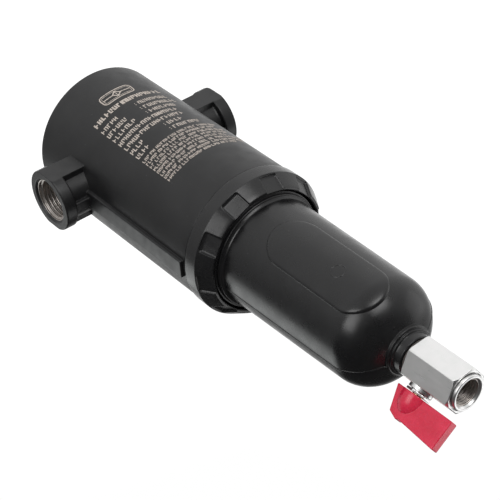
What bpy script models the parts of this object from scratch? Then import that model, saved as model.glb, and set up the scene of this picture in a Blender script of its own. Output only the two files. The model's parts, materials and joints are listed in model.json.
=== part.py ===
"""Moisture separator for compressed air: head, clamp ring, bowl, mesh element and ball drain valve.

The Z axis is the axis of the vessel, pointing up at the closed head. The X axis runs through both
ports, from the inlet to the outlet, and the origin is where the two axes cross. Lengths are in
millimetres, and the mesh builders scale them to metres.
"""

import math

import bmesh
import bpy
from mathutils import Matrix

MM = 0.001
FULL_TURN = 2.0 * math.pi
WELD = 1.0e-4

FINE = 48
MEDIUM = 32
SMALL = 24

GAP = 0.4

# Head casting
HEAD_RADIUS = 34.0
HEAD_TOP = 29.0
HEAD_FOOT = -84.0
HEAD_ROOF = 20.0
HEAD_BORE = 27.0
HEAD_EDGE = 1.2
SHOULDER_Z = -66.0
THREAD_BORE = 31.0
SIDE_RIB_REACH = 35.5
SIDE_RIB_HALF_WIDTH = 4.5
SIDE_RIB_FOOT = -82.6

# Ports, G 1/2
PORT_REACH = 49.0
PORT_FLANGE_RADIUS = 14.9
PORT_FLANGE_THICKNESS = 6.0
PORT_FLAT = 13.7
PORT_NECK_RADIUS = 12.2
PORT_THREAD_BORE = 10.0
PORT_THREAD_DEPTH = 15.0
PORT_PASSAGE = 8.0
PORT_BEVEL = 1.2
PORT_RIB_HALF_WIDTH = 5.8
PORT_WEB_HALF_WIDTH = 2.4
PORT_WEB_REACH = 14.0

# Outlet elbow inside the head
PILLAR_RADIUS = 11.0
SPIGOT_FOOT = -21.2
SPIGOT_BORE = 7.0
SPIGOT_BORE_TOP = 7.0
ARM_RADIUS = 11.4
ROD_SOCKET_TOP = 15.0
SPIGOT_GROOVE_RADIUS = 9.2
SPIGOT_GROOVE_TOP = -14.8
SPIGOT_GROOVE_FOOT = -17.2

# Clamp ring
RING_RADIUS = 34.6
RING_TOP = HEAD_FOOT - GAP
RING_BAND_FOOT = -91.4
RING_FOOT = -98.4
RING_FOOT_RADIUS = 30.6
RING_BORE = 28.8
RING_THREAD_RADIUS = 30.6
RING_THREAD_TOP = -71.8
POCKET_COUNT = 10
POCKET_PHASE = -4.9
POCKET_WIDTH = 9.4
POCKET_TOP = -91.7
POCKET_DEPTH = 1.7

# Slip washer between the ring and the bowl's flange
SLIP_WASHER_OUTER = 30.4
SLIP_WASHER_INNER = 28.6
SLIP_WASHER_TOP = -70.7
SLIP_WASHER_FOOT = -71.5

# Bowl
BOWL_SPIGOT_RADIUS = 26.6
BOWL_TOP = -58.0
BOWL_GROOVE_RADIUS = 24.2
BOWL_GROOVE_TOP = -60.2
BOWL_GROOVE_FOOT = -63.2
BOWL_FLANGE_RADIUS = 30.5
BOWL_FLANGE_TOP = SHOULDER_Z - GAP
BOWL_FLANGE_FOOT = -70.4
BOWL_COLLAR_RADIUS = 28.2
BOWL_COLLAR_FOOT = -97.2
BOWL_RIDGE_RADIUS = 27.2
BOWL_RIDGE_FOOT = -98.8
BOWL_NECK_TOP = -101.2
BOWL_WALL_TOP_RADIUS = 25.6
BOWL_WALL_FOOT_RADIUS = 24.8
BOWL_INSIDE_TOP = 22.6
BOWL_INSIDE_FOOT = 22.0
DOME_TOP = -169.0
DOME_FOOT = -186.0
DOME_INSIDE_FOOT = -182.6
DRAIN_HOLE = 4.2
BOSS_RING_RADIUS = 11.4
BOSS_RING_FOOT = -187.6
BOSS_STEP_RADIUS = 10.4
BOSS_STEP_FOOT = -188.6
BOSS_RADIUS = 9.3
BOSS_FOOT = -192.4
BOSS_BORE = 6.9
BOSS_BORE_TOP = -184.4
PAD_AZIMUTH = -105.0
PAD_WIDTH = 25.5
PAD_TOP = -113.2
PAD_FOOT = -177.8
PAD_RISE = 0.5
PAD_FOOT_RISE = 1.0
PAD_ROOT = 18.0

# Rubber rings
BOWL_O_RING_RADIUS = 25.7
BOWL_O_RING_SECTION = 1.05
ELEMENT_O_RING_RADIUS = 10.25
ELEMENT_O_RING_SECTION = 0.72

# Mesh element
CAP_RADIUS = 21.2
CAP_RIM_THICKNESS = 0.8
CAP_THICKNESS = 1.6
CAP_RIM_HEIGHT = 5.0
TOP_CAP_TOP = -19.8
TOP_COLLAR_TOP = -12.2
TOP_COLLAR_RADIUS = 12.8
TOP_COLLAR_BORE = 11.4
BOTTOM_CAP_FOOT = -90.4
SCREEN_RADIUS = 20.0
SCREEN_THICKNESS = 0.6
SCREEN_WINDOWS = 12
SCREEN_ROWS = 5
CORE_RADIUS = 9.4
CORE_THICKNESS = 0.6
CORE_WINDOWS = 6
CORE_ROWS = 5
MESH_OUTER = 19.0
MESH_INNER = 9.8

# Tie rod, M6
ROD_RADIUS = 2.9
ROD_TOP = 13.0
ROD_FOOT = -99.6
ROD_HOLE = 3.3
WASHER_RADIUS = 6.4
WASHER_THICKNESS = 1.2
NUT_ACROSS_FLATS = 10.0
NUT_HEIGHT = 5.0

# Drain ball valve
BALL_Z = -203.3
STEM_AZIMUTH = 146.0
BALL_RADIUS = 5.6
BALL_BORE = 3.6
BALL_SLOT_HALF_WIDTH = 1.4
BALL_SLOT_FLOOR = 4.0
SEAT_NEAR = 3.9
SEAT_FAR = 6.0
SEAT_INNER = 4.4
SEAT_OUTER = 7.1
VALVE_CHAMBER = 7.5
CHAMBER_TOP = 6.3
HEX_ACROSS_FLATS = 18.5
HEX_TOP = -193.8
HEX_FOOT = -220.0
HEX_CHAMFER_RADIUS = 9.5
HEX_TOP_SLOPE = 0.5
HEX_FOOT_SLOPE = 0.8
MALE_THREAD_RADIUS = 6.5
MALE_THREAD_TOP = -185.0
VALVE_PASSAGE = 3.8
INSERT_TOP = -209.8
INSERT_THREAD_RADIUS = 7.1
COUNTERBORE_RADIUS = 8.6
COUNTERBORE_TOP = HEX_FOOT + 1.2
INSERT_RIM_TOP = COUNTERBORE_TOP - GAP
INSERT_RIM_RADIUS = 8.1
INSERT_FOOT = -221.6
INSERT_THREAD_BORE = 5.9
INSERT_BEVEL = 0.7
DRAIN_WASHER_TOP = BOSS_FOOT - 0.3
DRAIN_WASHER_FOOT = HEX_TOP + 0.3
DRAIN_WASHER_RADIUS = 8.7

# Valve stem, measured along the stem from the ball's centre
STEM_RADIUS = 2.2
STEM_HOLE = 2.6
STEM_COLLAR_FOOT = 6.2
STEM_TOP = 20.0
TANG_FOOT = 4.5
TANG_HALF_WIDTH = 1.0
TANG_HALF_LENGTH = 2.1
GLAND_BOSS_RADIUS = 5.4
GLAND_BOSS_TOP = 10.9
GLAND_CHAMBER_RADIUS = 4.1
GLAND_CHAMBER_FOOT = 8.3
STEM_SEAL_RADIUS = 3.7
STEM_SEAL_FOOT = 8.6
STEM_SEAL_TOP = 9.3
GLAND_PLUG_FOOT = 9.6
GLAND_HEAD_FOOT = 11.2
GLAND_HEAD_TOP = 12.2
GLAND_HEAD_ACROSS_FLATS = 9.6

# Handle: X along the wing, Z along the stem
WING_HALF_THICKNESS = 2.5
WING_BACK = -9.4
WING_TIP = 21.2
WING_FOOT = 12.6
WING_CREST_BACK_X = -5.0
WING_CREST_BACK = 23.4
WING_LUG_X = -0.4
WING_LUG = 25.0
WING_CREST_X = 0.5
WING_CREST = 24.4
WING_CREST_TIP = 26.0
HUB_RADIUS = 6.2
HUB_CREST = 22.4
HUB_SHOULDER = 13.0

BLACK_PAINT = (0.018, 0.018, 0.020)
BLACK_MOULDING = (0.022, 0.022, 0.023)
RUBBER = (0.012, 0.012, 0.012)
STEEL = (0.56, 0.56, 0.55)
WIRE = (0.47, 0.47, 0.45)
PLATING = (0.74, 0.75, 0.72)
BRASS = (0.70, 0.56, 0.28)
SEAT_WHITE = (0.83, 0.82, 0.78)
HANDLE_RED = (0.55, 0.018, 0.055)
FIBRE = (0.05, 0.04, 0.035)


def clear_scene():
    """Remove every object that the file starts with."""
    for item in list(bpy.data.objects):
        bpy.data.objects.remove(item, do_unlink=True)


def make_material(name, colour, roughness, metallic):
    """Return a plain Principled material."""
    material = bpy.data.materials.new(name)
    material.use_nodes = True
    shader = material.node_tree.nodes["Principled BSDF"]
    shader.inputs["Base Color"].default_value = (*colour, 1.0)
    shader.inputs["Roughness"].default_value = roughness
    shader.inputs["Metallic"].default_value = metallic
    material.diffuse_color = (*colour, 1.0)
    return material


def finish_mesh(name, bm):
    """Weld and orient a bmesh, scale it to metres and link it as an object."""
    bmesh.ops.remove_doubles(bm, verts=bm.verts, dist=WELD)
    bmesh.ops.recalc_face_normals(bm, faces=bm.faces)
    bmesh.ops.scale(bm, vec=(MM, MM, MM), verts=bm.verts)
    mesh = bpy.data.meshes.new(name)
    bm.to_mesh(mesh)
    bm.free()
    item = bpy.data.objects.new(name, mesh)
    bpy.context.collection.objects.link(item)
    return item


def turned(name, profile, steps, closed=True):
    """Spin an (r, z) profile about the Z axis; an open profile starts and ends on the axis."""
    bm = bmesh.new()
    verts = [bm.verts.new((radius, 0.0, height)) for radius, height in profile]
    edges = [bm.edges.new(pair) for pair in zip(verts, verts[1:])]
    if closed:
        edges.append(bm.edges.new((verts[-1], verts[0])))
    bmesh.ops.spin(
        bm, geom=verts + edges, axis=(0.0, 0.0, 1.0), cent=(0.0, 0.0, 0.0),
        angle=FULL_TURN, steps=steps, use_merge=True,
    )
    return finish_mesh(name, bm)


def tube(name, outer, inner, low, high, steps):
    """Make a plain ring between two heights."""
    return turned(name, [(inner, high), (outer, high), (outer, low), (inner, low)], steps)


def rod(name, radius, low, high, steps):
    """Make a plain round bar between two heights."""
    return turned(name, [(0.0, high), (radius, high), (radius, low), (0.0, low)], steps, closed=False)


def prism(name, outline, low, high):
    """Extrude an (x, y) outline between two heights."""
    bm = bmesh.new()
    face = bm.faces.new([bm.verts.new((x, y, low)) for x, y in outline])
    swept = bmesh.ops.extrude_face_region(bm, geom=[face])
    moved = [part for part in swept["geom"] if isinstance(part, bmesh.types.BMVert)]
    bmesh.ops.translate(bm, vec=(0.0, 0.0, high - low), verts=moved)
    return finish_mesh(name, bm)


def block(name, low, high):
    """Make a box between two corners."""
    outline = [(low[0], low[1]), (high[0], low[1]), (high[0], high[1]), (low[0], high[1])]
    return prism(name, outline, low[2], high[2])


def polygon(sides, across_flats, phase=0.0):
    """Return a regular polygon whose first flat faces the phase angle, in degrees."""
    radius = 0.5 * across_flats / math.cos(math.pi / sides)
    angles = [math.radians(phase) + math.pi * (2 * side + 1) / sides for side in range(sides)]
    return [(radius * math.cos(angle), radius * math.sin(angle)) for angle in angles]


def arc(centre, radius, start, end, steps):
    """Return points on an arc, from one angle to another in degrees."""
    angles = [math.radians(start + (end - start) * step / steps) for step in range(steps + 1)]
    return [(centre[0] + radius * math.cos(a), centre[1] + radius * math.sin(a)) for a in angles]


def bake(item, matrix):
    """Apply a turn or a move, in millimetres, to the mesh itself."""
    scaled = matrix.copy()
    scaled.translation = matrix.translation * MM
    item.data.transform(scaled)
    return item


def toward(azimuth):
    """Turn a piece built along Z so that it points sideways at this azimuth."""
    return Matrix.Rotation(math.radians(azimuth), 4, "Z") @ Matrix.Rotation(math.radians(90.0), 4, "Y")


def combine(target, tool, operation):
    """Join, cut or intersect a piece with a tool, then drop the tool."""
    modifier = target.modifiers.new(operation.lower(), "BOOLEAN")
    modifier.operation = operation
    modifier.solver = "EXACT"
    modifier.object = tool
    graph = bpy.context.evaluated_depsgraph_get()
    mesh = bpy.data.meshes.new_from_object(target.evaluated_get(graph))
    target.modifiers.clear()
    target.data = mesh
    bpy.data.objects.remove(tool, do_unlink=True)
    return target


def dress(item, name, material, smooth_angle=32.0):
    """Name a finished piece, give it its material and shade its round faces smooth."""
    item.name = name
    item.data.name = name
    item.data.materials.clear()
    item.data.materials.append(material)
    item.data.shade_smooth()
    item.data.set_sharp_from_angle(angle=math.radians(smooth_angle))
    return item


def port_boss(side):
    """Return the flange, neck and ribs of one port, on the side given by +1 or -1."""
    root = HEAD_BORE + 2.0
    face = PORT_REACH
    back = PORT_REACH - PORT_FLANGE_THICKNESS
    profile = [
        (0.0, face), (PORT_FLANGE_RADIUS - 0.6, face), (PORT_FLANGE_RADIUS, face - 0.6),
        (PORT_FLANGE_RADIUS, back + 0.4), (PORT_FLANGE_RADIUS - 0.4, back),
        (PORT_NECK_RADIUS, back - 0.8), (PORT_NECK_RADIUS, root), (0.0, root),
    ]
    boss = turned("boss", profile, SMALL, closed=False)
    bake(boss, toward(0.0 if side > 0 else 180.0))
    low, high = sorted((side * root, side * (face - 0.5)))
    ribs = block("ribs", (low, -PORT_FLAT - 1.0, -PORT_RIB_HALF_WIDTH),
                 (high, PORT_FLAT + 1.0, PORT_RIB_HALF_WIDTH))
    combine(boss, ribs, "UNION")
    low, high = sorted((side * root, side * (back + 1.0)))
    webs = block("webs", (low, -PORT_WEB_HALF_WIDTH, -PORT_WEB_REACH),
                 (high, PORT_WEB_HALF_WIDTH, PORT_WEB_REACH))
    combine(boss, webs, "UNION")
    low, high = sorted((side * (root - 1.0), side * (face + 1.0)))
    flats = block("flats", (low, -PORT_FLAT, -PORT_FLANGE_RADIUS - 1.0),
                  (high, PORT_FLAT, PORT_FLANGE_RADIUS + 1.0))
    return combine(boss, flats, "INTERSECT")


def port_bore(side):
    """Return the cutter for one port: bevelled mouth, thread bore and passage."""
    end = PORT_REACH + 1.0
    profile = [
        (0.0, end), (PORT_THREAD_BORE + PORT_BEVEL + 1.0, end), (PORT_THREAD_BORE, PORT_REACH - PORT_BEVEL),
        (PORT_THREAD_BORE, PORT_REACH - PORT_THREAD_DEPTH),
        (PORT_PASSAGE, PORT_REACH - PORT_THREAD_DEPTH - 1.2), (PORT_PASSAGE, 0.0), (0.0, 0.0),
    ]
    if side < 0:
        profile[-2:] = [(PORT_PASSAGE, HEAD_BORE - 2.0), (0.0, HEAD_BORE - 2.0)]
    cutter = turned("bore", profile, SMALL, closed=False)
    return bake(cutter, toward(0.0 if side > 0 else 180.0))


def head_cavity():
    """Return the cutter for the inside of the head, with the outlet elbow left standing."""
    profile = [
        (0.0, HEAD_ROOF), (HEAD_BORE - 3.0, HEAD_ROOF), (HEAD_BORE, HEAD_ROOF - 3.0),
        (HEAD_BORE, SHOULDER_Z), (THREAD_BORE, SHOULDER_Z), (THREAD_BORE, HEAD_FOOT + 0.8),
        (THREAD_BORE + 1.4, HEAD_FOOT - 0.6), (0.0, HEAD_FOOT - 0.6),
    ]
    cavity = turned("cavity", profile, FINE, closed=False)
    combine(cavity, rod("pillar", PILLAR_RADIUS, SPIGOT_FOOT, HEAD_ROOF + 5.0, SMALL), "DIFFERENCE")
    arm = bake(rod("arm", ARM_RADIUS, 0.0, HEAD_BORE + 4.0, SMALL), toward(0.0))
    return combine(cavity, arm, "DIFFERENCE")


def spigot_cutters():
    """Return the cutters for the spigot: its bore with the rod's socket, and the ring groove."""
    bore = turned("spigot_bore", [
        (0.0, ROD_SOCKET_TOP), (ROD_HOLE, ROD_SOCKET_TOP), (ROD_HOLE, SPIGOT_BORE_TOP + 1.5),
        (SPIGOT_BORE, SPIGOT_BORE_TOP - 2.0), (SPIGOT_BORE, SPIGOT_FOOT - 1.0), (0.0, SPIGOT_FOOT - 1.0),
    ], SMALL, closed=False)
    groove = tube("spigot_groove", PILLAR_RADIUS + 1.0, SPIGOT_GROOVE_RADIUS,
                  SPIGOT_GROOVE_FOOT, SPIGOT_GROOVE_TOP, SMALL)
    return [bore, groove]


def build_head(material):
    """Build the head casting with its ports, side ribs and outlet elbow."""
    outline = [(0.0, HEAD_TOP)]
    outline += arc((HEAD_RADIUS - HEAD_EDGE, HEAD_TOP - HEAD_EDGE), HEAD_EDGE, 90.0, 0.0, 3)
    outline += [(HEAD_RADIUS, HEAD_FOOT + 0.4), (HEAD_RADIUS - 0.4, HEAD_FOOT), (0.0, HEAD_FOOT)]
    head = turned("head", outline, FINE, closed=False)
    for side in (-1, 1):
        low, high = sorted((side * HEAD_BORE, side * SIDE_RIB_REACH))
        rib = block("side_rib", (low, -SIDE_RIB_HALF_WIDTH, SIDE_RIB_FOOT),
                    (high, SIDE_RIB_HALF_WIDTH, 0.0))
        combine(head, rib, "UNION")
        combine(head, port_boss(side), "UNION")
    combine(head, head_cavity(), "DIFFERENCE")
    for cutter in spigot_cutters() + [port_bore(-1), port_bore(1)]:
        combine(head, cutter, "DIFFERENCE")
    return dress(head, "head_casting", material)


def ring_pocket(angle):
    """Return the cutter of one grip pocket, open towards the bowl."""
    slope = (RING_RADIUS - RING_FOOT_RADIUS) / (RING_BAND_FOOT - RING_FOOT)
    floor_top = RING_RADIUS - POCKET_DEPTH
    run = POCKET_TOP - (RING_FOOT - 1.0)
    outline = [
        (floor_top, POCKET_TOP), (RING_RADIUS + 2.0, POCKET_TOP),
        (RING_RADIUS + 2.0, POCKET_TOP - run), (floor_top - slope * run, POCKET_TOP - run),
    ]
    pocket = prism("pocket", outline, -0.5 * POCKET_WIDTH, 0.5 * POCKET_WIDTH)
    upright = Matrix.Rotation(math.radians(90.0), 4, "X")
    return bake(pocket, Matrix.Rotation(math.radians(angle), 4, "Z") @ upright)


def build_clamp_ring(material):
    """Build the clamp ring: outside band, cone, pockets and the thread that enters the head."""
    ring = turned("ring", [
        (RING_BORE, RING_THREAD_TOP), (RING_THREAD_RADIUS - 0.5, RING_THREAD_TOP),
        (RING_THREAD_RADIUS, RING_THREAD_TOP - 0.5), (RING_THREAD_RADIUS, RING_TOP),
        (RING_RADIUS - 0.4, RING_TOP), (RING_RADIUS, RING_TOP - 0.4), (RING_RADIUS, RING_BAND_FOOT),
        (RING_FOOT_RADIUS, RING_FOOT), (RING_BORE + 0.7, RING_FOOT), (RING_BORE, RING_FOOT + 1.0),
    ], FINE)
    for index in range(POCKET_COUNT):
        combine(ring, ring_pocket(POCKET_PHASE + 360.0 * index / POCKET_COUNT), "DIFFERENCE")
    return dress(ring, "clamp_ring", material)


def dome_curve(radius, top, foot, end_radius, steps):
    """Return a rounded bowl end, from the straight wall down to a given radius."""
    turn = math.degrees(math.acos(end_radius / radius))
    depth = (top - foot) / math.sin(math.radians(turn))
    angles = [math.radians(turn * step / steps) for step in range(1, steps + 1)]
    return [(radius * math.cos(a), top - depth * math.sin(a)) for a in angles]


def bowl_profile():
    """Return the closed section of the bowl, outside first and then up the inside."""
    outside = [
        (BOWL_INSIDE_TOP, BOWL_TOP), (BOWL_SPIGOT_RADIUS - 0.6, BOWL_TOP),
        (BOWL_SPIGOT_RADIUS, BOWL_TOP - 0.8), (BOWL_SPIGOT_RADIUS, BOWL_GROOVE_TOP),
        (BOWL_GROOVE_RADIUS, BOWL_GROOVE_TOP),
        (BOWL_GROOVE_RADIUS, BOWL_GROOVE_FOOT), (BOWL_SPIGOT_RADIUS, BOWL_GROOVE_FOOT),
        (BOWL_SPIGOT_RADIUS, BOWL_FLANGE_TOP), (BOWL_FLANGE_RADIUS, BOWL_FLANGE_TOP),
        (BOWL_FLANGE_RADIUS, BOWL_FLANGE_FOOT), (BOWL_COLLAR_RADIUS, BOWL_FLANGE_FOOT),
        (BOWL_COLLAR_RADIUS, BOWL_COLLAR_FOOT), (BOWL_RIDGE_RADIUS, BOWL_COLLAR_FOOT - 0.5),
        (BOWL_RIDGE_RADIUS, BOWL_RIDGE_FOOT), (BOWL_WALL_TOP_RADIUS + 0.4, BOWL_RIDGE_FOOT - 0.6),
        (BOWL_WALL_TOP_RADIUS, BOWL_NECK_TOP), (BOWL_WALL_FOOT_RADIUS, DOME_TOP),
    ]
    outside += dome_curve(BOWL_WALL_FOOT_RADIUS, DOME_TOP, DOME_FOOT, BOSS_RING_RADIUS, 9)
    outside += [
        (BOSS_RING_RADIUS, BOSS_RING_FOOT), (BOSS_STEP_RADIUS, BOSS_RING_FOOT),
        (BOSS_STEP_RADIUS, BOSS_STEP_FOOT), (BOSS_RADIUS, BOSS_STEP_FOOT - 0.4), (BOSS_RADIUS, BOSS_FOOT),
    ]
    inside = [(BOSS_BORE, BOSS_FOOT), (BOSS_BORE, BOSS_BORE_TOP), (DRAIN_HOLE, BOSS_BORE_TOP)]
    inner_dome = dome_curve(BOWL_INSIDE_FOOT, DOME_TOP, DOME_INSIDE_FOOT, DRAIN_HOLE, 8)
    inside += list(reversed(inner_dome)) + [(BOWL_INSIDE_FOOT, DOME_TOP)]
    return outside + inside


def bowl_pad():
    """Return the raised oval pad, cut to follow the wall with a small rise."""
    half = 0.5 * PAD_WIDTH
    outline = arc((-(PAD_TOP - half), 0.0), half, 90.0, 270.0, 14)
    outline += arc((-(PAD_FOOT + half), 0.0), half, -90.0, 90.0, 14)
    pad = prism("pad", outline, PAD_ROOT, BOWL_WALL_TOP_RADIUS + 2.0)
    bake(pad, toward(PAD_AZIMUTH))
    dome = dome_curve(BOWL_WALL_FOOT_RADIUS + PAD_RISE, DOME_TOP, DOME_FOOT - PAD_FOOT_RISE,
                      BOSS_RING_RADIUS, 9)
    sleeve = turned("sleeve", [
        (0.0, PAD_TOP + 10.0), (BOWL_WALL_TOP_RADIUS + PAD_RISE, PAD_TOP + 10.0),
        (BOWL_WALL_FOOT_RADIUS + PAD_RISE, DOME_TOP), *dome, (0.0, dome[-1][1]),
    ], FINE, closed=False)
    return combine(pad, sleeve, "INTERSECT")


def build_bowl(material):
    """Build the bowl with its pad, cut so that nothing reaches into the inside."""
    profile = bowl_profile()
    bowl = turned("bowl", profile, FINE)
    combine(bowl, bowl_pad(), "UNION")
    start = next(i for i, point in enumerate(profile) if point == (DRAIN_HOLE, BOSS_BORE_TOP))
    inside = [(0.0, BOSS_BORE_TOP)] + profile[start:] + [(BOWL_INSIDE_TOP, BOWL_TOP), (0.0, BOWL_TOP)]
    combine(bowl, turned("inside", inside, FINE, closed=False), "DIFFERENCE")
    return dress(bowl, "bowl", material)


def o_ring(name, radius, section, height, steps, material):
    """Build a rubber ring lying round the Z axis."""
    profile = [(radius + r, height + z) for r, z in arc((0.0, 0.0), section, 0.0, 315.0, 7)]
    return dress(turned(name, profile, steps), name, material, 60.0)


def element_top_cap(foot, material):
    """Build the top cap: a disc with a rim that turns down and a collar for the spigot."""
    inner = CAP_RADIUS - CAP_RIM_THICKNESS
    cap = turned("cap", [
        (TOP_COLLAR_BORE, TOP_COLLAR_TOP), (TOP_COLLAR_RADIUS, TOP_COLLAR_TOP),
        (TOP_COLLAR_RADIUS, TOP_CAP_TOP), (CAP_RADIUS, TOP_CAP_TOP), (CAP_RADIUS, foot - CAP_RIM_HEIGHT),
        (inner, foot - CAP_RIM_HEIGHT), (inner, foot), (TOP_COLLAR_BORE, foot),
    ], FINE)
    return dress(cap, "element_top_cap", material)


def element_bottom_cap(top, material):
    """Build the bottom cap: a disc with a rim that turns up and a hole for the tie rod."""
    inner = CAP_RADIUS - CAP_RIM_THICKNESS
    cap = turned("cap", [
        (ROD_HOLE, top), (inner, top), (inner, top + CAP_RIM_HEIGHT), (CAP_RADIUS, top + CAP_RIM_HEIGHT),
        (CAP_RADIUS, BOTTOM_CAP_FOOT), (ROD_HOLE, BOTTOM_CAP_FOOT),
    ], FINE)
    return dress(cap, "element_bottom_cap", material)


def windowed_tube(name, radius, thickness, low, high, windows, rows, material):
    """Build a thin tube with a grid of windows, two columns open for each one that stays."""
    columns = 3 * windows
    levels = 2 * rows + 1
    step = (high - low) / levels
    bm = bmesh.new()
    grid = []
    angles = [FULL_TURN * column / columns for column in range(columns)]
    for level in range(levels + 1):
        height = low + level * step
        grid.append([bm.verts.new((radius * math.cos(a), radius * math.sin(a), height)) for a in angles])
    for level in range(levels):
        for column in range(columns):
            if level % 2 == 1 and column % 3 != 0:
                continue
            following = (column + 1) % columns
            bm.faces.new((grid[level][column], grid[level][following],
                          grid[level + 1][following], grid[level + 1][column]))
    item = finish_mesh(name, bm)
    shell = item.modifiers.new("wall", "SOLIDIFY")
    shell.thickness = thickness * MM
    shell.offset = -1.0
    return dress(item, name, material)


def build_element(steel, wire, rubber):
    """Build the mesh element and the rubber ring on the spigot."""
    top_foot = TOP_CAP_TOP - CAP_THICKNESS
    bottom_top = BOTTOM_CAP_FOOT + CAP_THICKNESS
    element_top_cap(top_foot, steel)
    element_bottom_cap(bottom_top, steel)
    low = bottom_top + GAP
    high = top_foot - GAP
    windowed_tube("element_outer_screen", SCREEN_RADIUS, SCREEN_THICKNESS, low, high,
                  SCREEN_WINDOWS, SCREEN_ROWS, steel)
    windowed_tube("element_inner_tube", CORE_RADIUS, CORE_THICKNESS, low, high,
                  CORE_WINDOWS, CORE_ROWS, steel)
    mesh = tube("mesh", MESH_OUTER, MESH_INNER, low, high, MEDIUM)
    dress(mesh, "element_mesh_pad", wire)
    groove_middle = 0.5 * (SPIGOT_GROOVE_TOP + SPIGOT_GROOVE_FOOT)
    o_ring("element_o_ring", ELEMENT_O_RING_RADIUS, ELEMENT_O_RING_SECTION, groove_middle,
           MEDIUM, rubber)


def build_tie_rod(steel):
    """Build the tie rod with its washer and nut."""
    dress(turned("rod", [
        (0.0, ROD_TOP), (ROD_RADIUS - 0.5, ROD_TOP), (ROD_RADIUS, ROD_TOP - 0.5),
        (ROD_RADIUS, ROD_FOOT + 0.5), (ROD_RADIUS - 0.5, ROD_FOOT), (0.0, ROD_FOOT),
    ], SMALL, closed=False), "tie_rod", steel)
    washer_top = BOTTOM_CAP_FOOT - GAP
    washer = tube("washer", WASHER_RADIUS, ROD_HOLE, washer_top - WASHER_THICKNESS, washer_top, SMALL)
    dress(washer, "tie_rod_washer", steel)
    nut_top = washer_top - WASHER_THICKNESS - GAP
    nut = prism("nut", polygon(6, NUT_ACROSS_FLATS), nut_top - NUT_HEIGHT, nut_top)
    hole = rod("nut_hole", ROD_HOLE, nut_top - NUT_HEIGHT - 1.0, nut_top + 1.0, SMALL)
    combine(nut, hole, "DIFFERENCE")
    dress(nut, "tie_rod_nut", steel)


def build_valve_body(plating):
    """Build the hexagon body: chamfered ends, male thread, gland boss, chamber and counterbore."""
    body = prism("hexagon", polygon(6, HEX_ACROSS_FLATS, STEM_AZIMUTH), HEX_FOOT, HEX_TOP)
    corner = HEX_ACROSS_FLATS
    over = 1.0
    envelope = turned("envelope", [
        (0.0, HEX_TOP + over), (HEX_CHAMFER_RADIUS - over / HEX_TOP_SLOPE, HEX_TOP + over),
        (corner, HEX_TOP - (corner - HEX_CHAMFER_RADIUS) * HEX_TOP_SLOPE),
        (corner, HEX_FOOT + (corner - HEX_CHAMFER_RADIUS) * HEX_FOOT_SLOPE),
        (HEX_CHAMFER_RADIUS - over / HEX_FOOT_SLOPE, HEX_FOOT - over), (0.0, HEX_FOOT - over),
    ], FINE, closed=False)
    combine(body, envelope, "INTERSECT")
    stud = turned("stud", [
        (0.0, MALE_THREAD_TOP), (MALE_THREAD_RADIUS - 0.7, MALE_THREAD_TOP),
        (MALE_THREAD_RADIUS, MALE_THREAD_TOP - 0.7), (MALE_THREAD_RADIUS, HEX_TOP - 2.0),
        (0.0, HEX_TOP - 2.0),
    ], MEDIUM, closed=False)
    combine(body, stud, "UNION")
    aim = Matrix.Translation((0.0, 0.0, BALL_Z)) @ toward(STEM_AZIMUTH)
    combine(body, bake(rod("gland_boss", GLAND_BOSS_RADIUS, 6.0, GLAND_BOSS_TOP, SMALL), aim), "UNION")
    combine(body, turned("chamber", [
        (0.0, MALE_THREAD_TOP + 1.0), (VALVE_PASSAGE, MALE_THREAD_TOP + 1.0),
        (VALVE_PASSAGE, BALL_Z + CHAMBER_TOP), (VALVE_CHAMBER, BALL_Z + CHAMBER_TOP),
        (VALVE_CHAMBER, COUNTERBORE_TOP), (COUNTERBORE_RADIUS, COUNTERBORE_TOP),
        (COUNTERBORE_RADIUS, HEX_FOOT - 1.0), (0.0, HEX_FOOT - 1.0),
    ], MEDIUM, closed=False), "DIFFERENCE")
    combine(body, bake(turned("stem_bore", [
        (0.0, GLAND_BOSS_TOP + 1.0), (GLAND_CHAMBER_RADIUS, GLAND_BOSS_TOP + 1.0),
        (GLAND_CHAMBER_RADIUS, GLAND_CHAMBER_FOOT), (STEM_HOLE, GLAND_CHAMBER_FOOT),
        (STEM_HOLE, 3.0), (0.0, 3.0),
    ], SMALL, closed=False), aim), "DIFFERENCE")
    return dress(body, "valve_body", plating)


def build_valve_insides(plating, white):
    """Build the end insert and the two seats of the ball."""
    insert = turned("insert", [
        (VALVE_PASSAGE, INSERT_TOP), (INSERT_THREAD_RADIUS, INSERT_TOP),
        (INSERT_THREAD_RADIUS, INSERT_RIM_TOP), (INSERT_RIM_RADIUS, INSERT_RIM_TOP),
        (INSERT_RIM_RADIUS, INSERT_FOOT + 0.5), (INSERT_RIM_RADIUS - 0.5, INSERT_FOOT),
        (INSERT_THREAD_BORE + INSERT_BEVEL, INSERT_FOOT), (INSERT_THREAD_BORE, INSERT_FOOT + INSERT_BEVEL),
        (INSERT_THREAD_BORE, INSERT_TOP - 1.4), (VALVE_PASSAGE, INSERT_TOP - 1.0),
    ], MEDIUM)
    dress(insert, "valve_end_insert", plating)
    for name, side in (("ball_seat_upper", 1), ("ball_seat_lower", -1)):
        low, high = sorted((BALL_Z + side * SEAT_NEAR, BALL_Z + side * SEAT_FAR))
        dress(tube(name, SEAT_OUTER, SEAT_INNER, low, high, SMALL), name, white)


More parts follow.
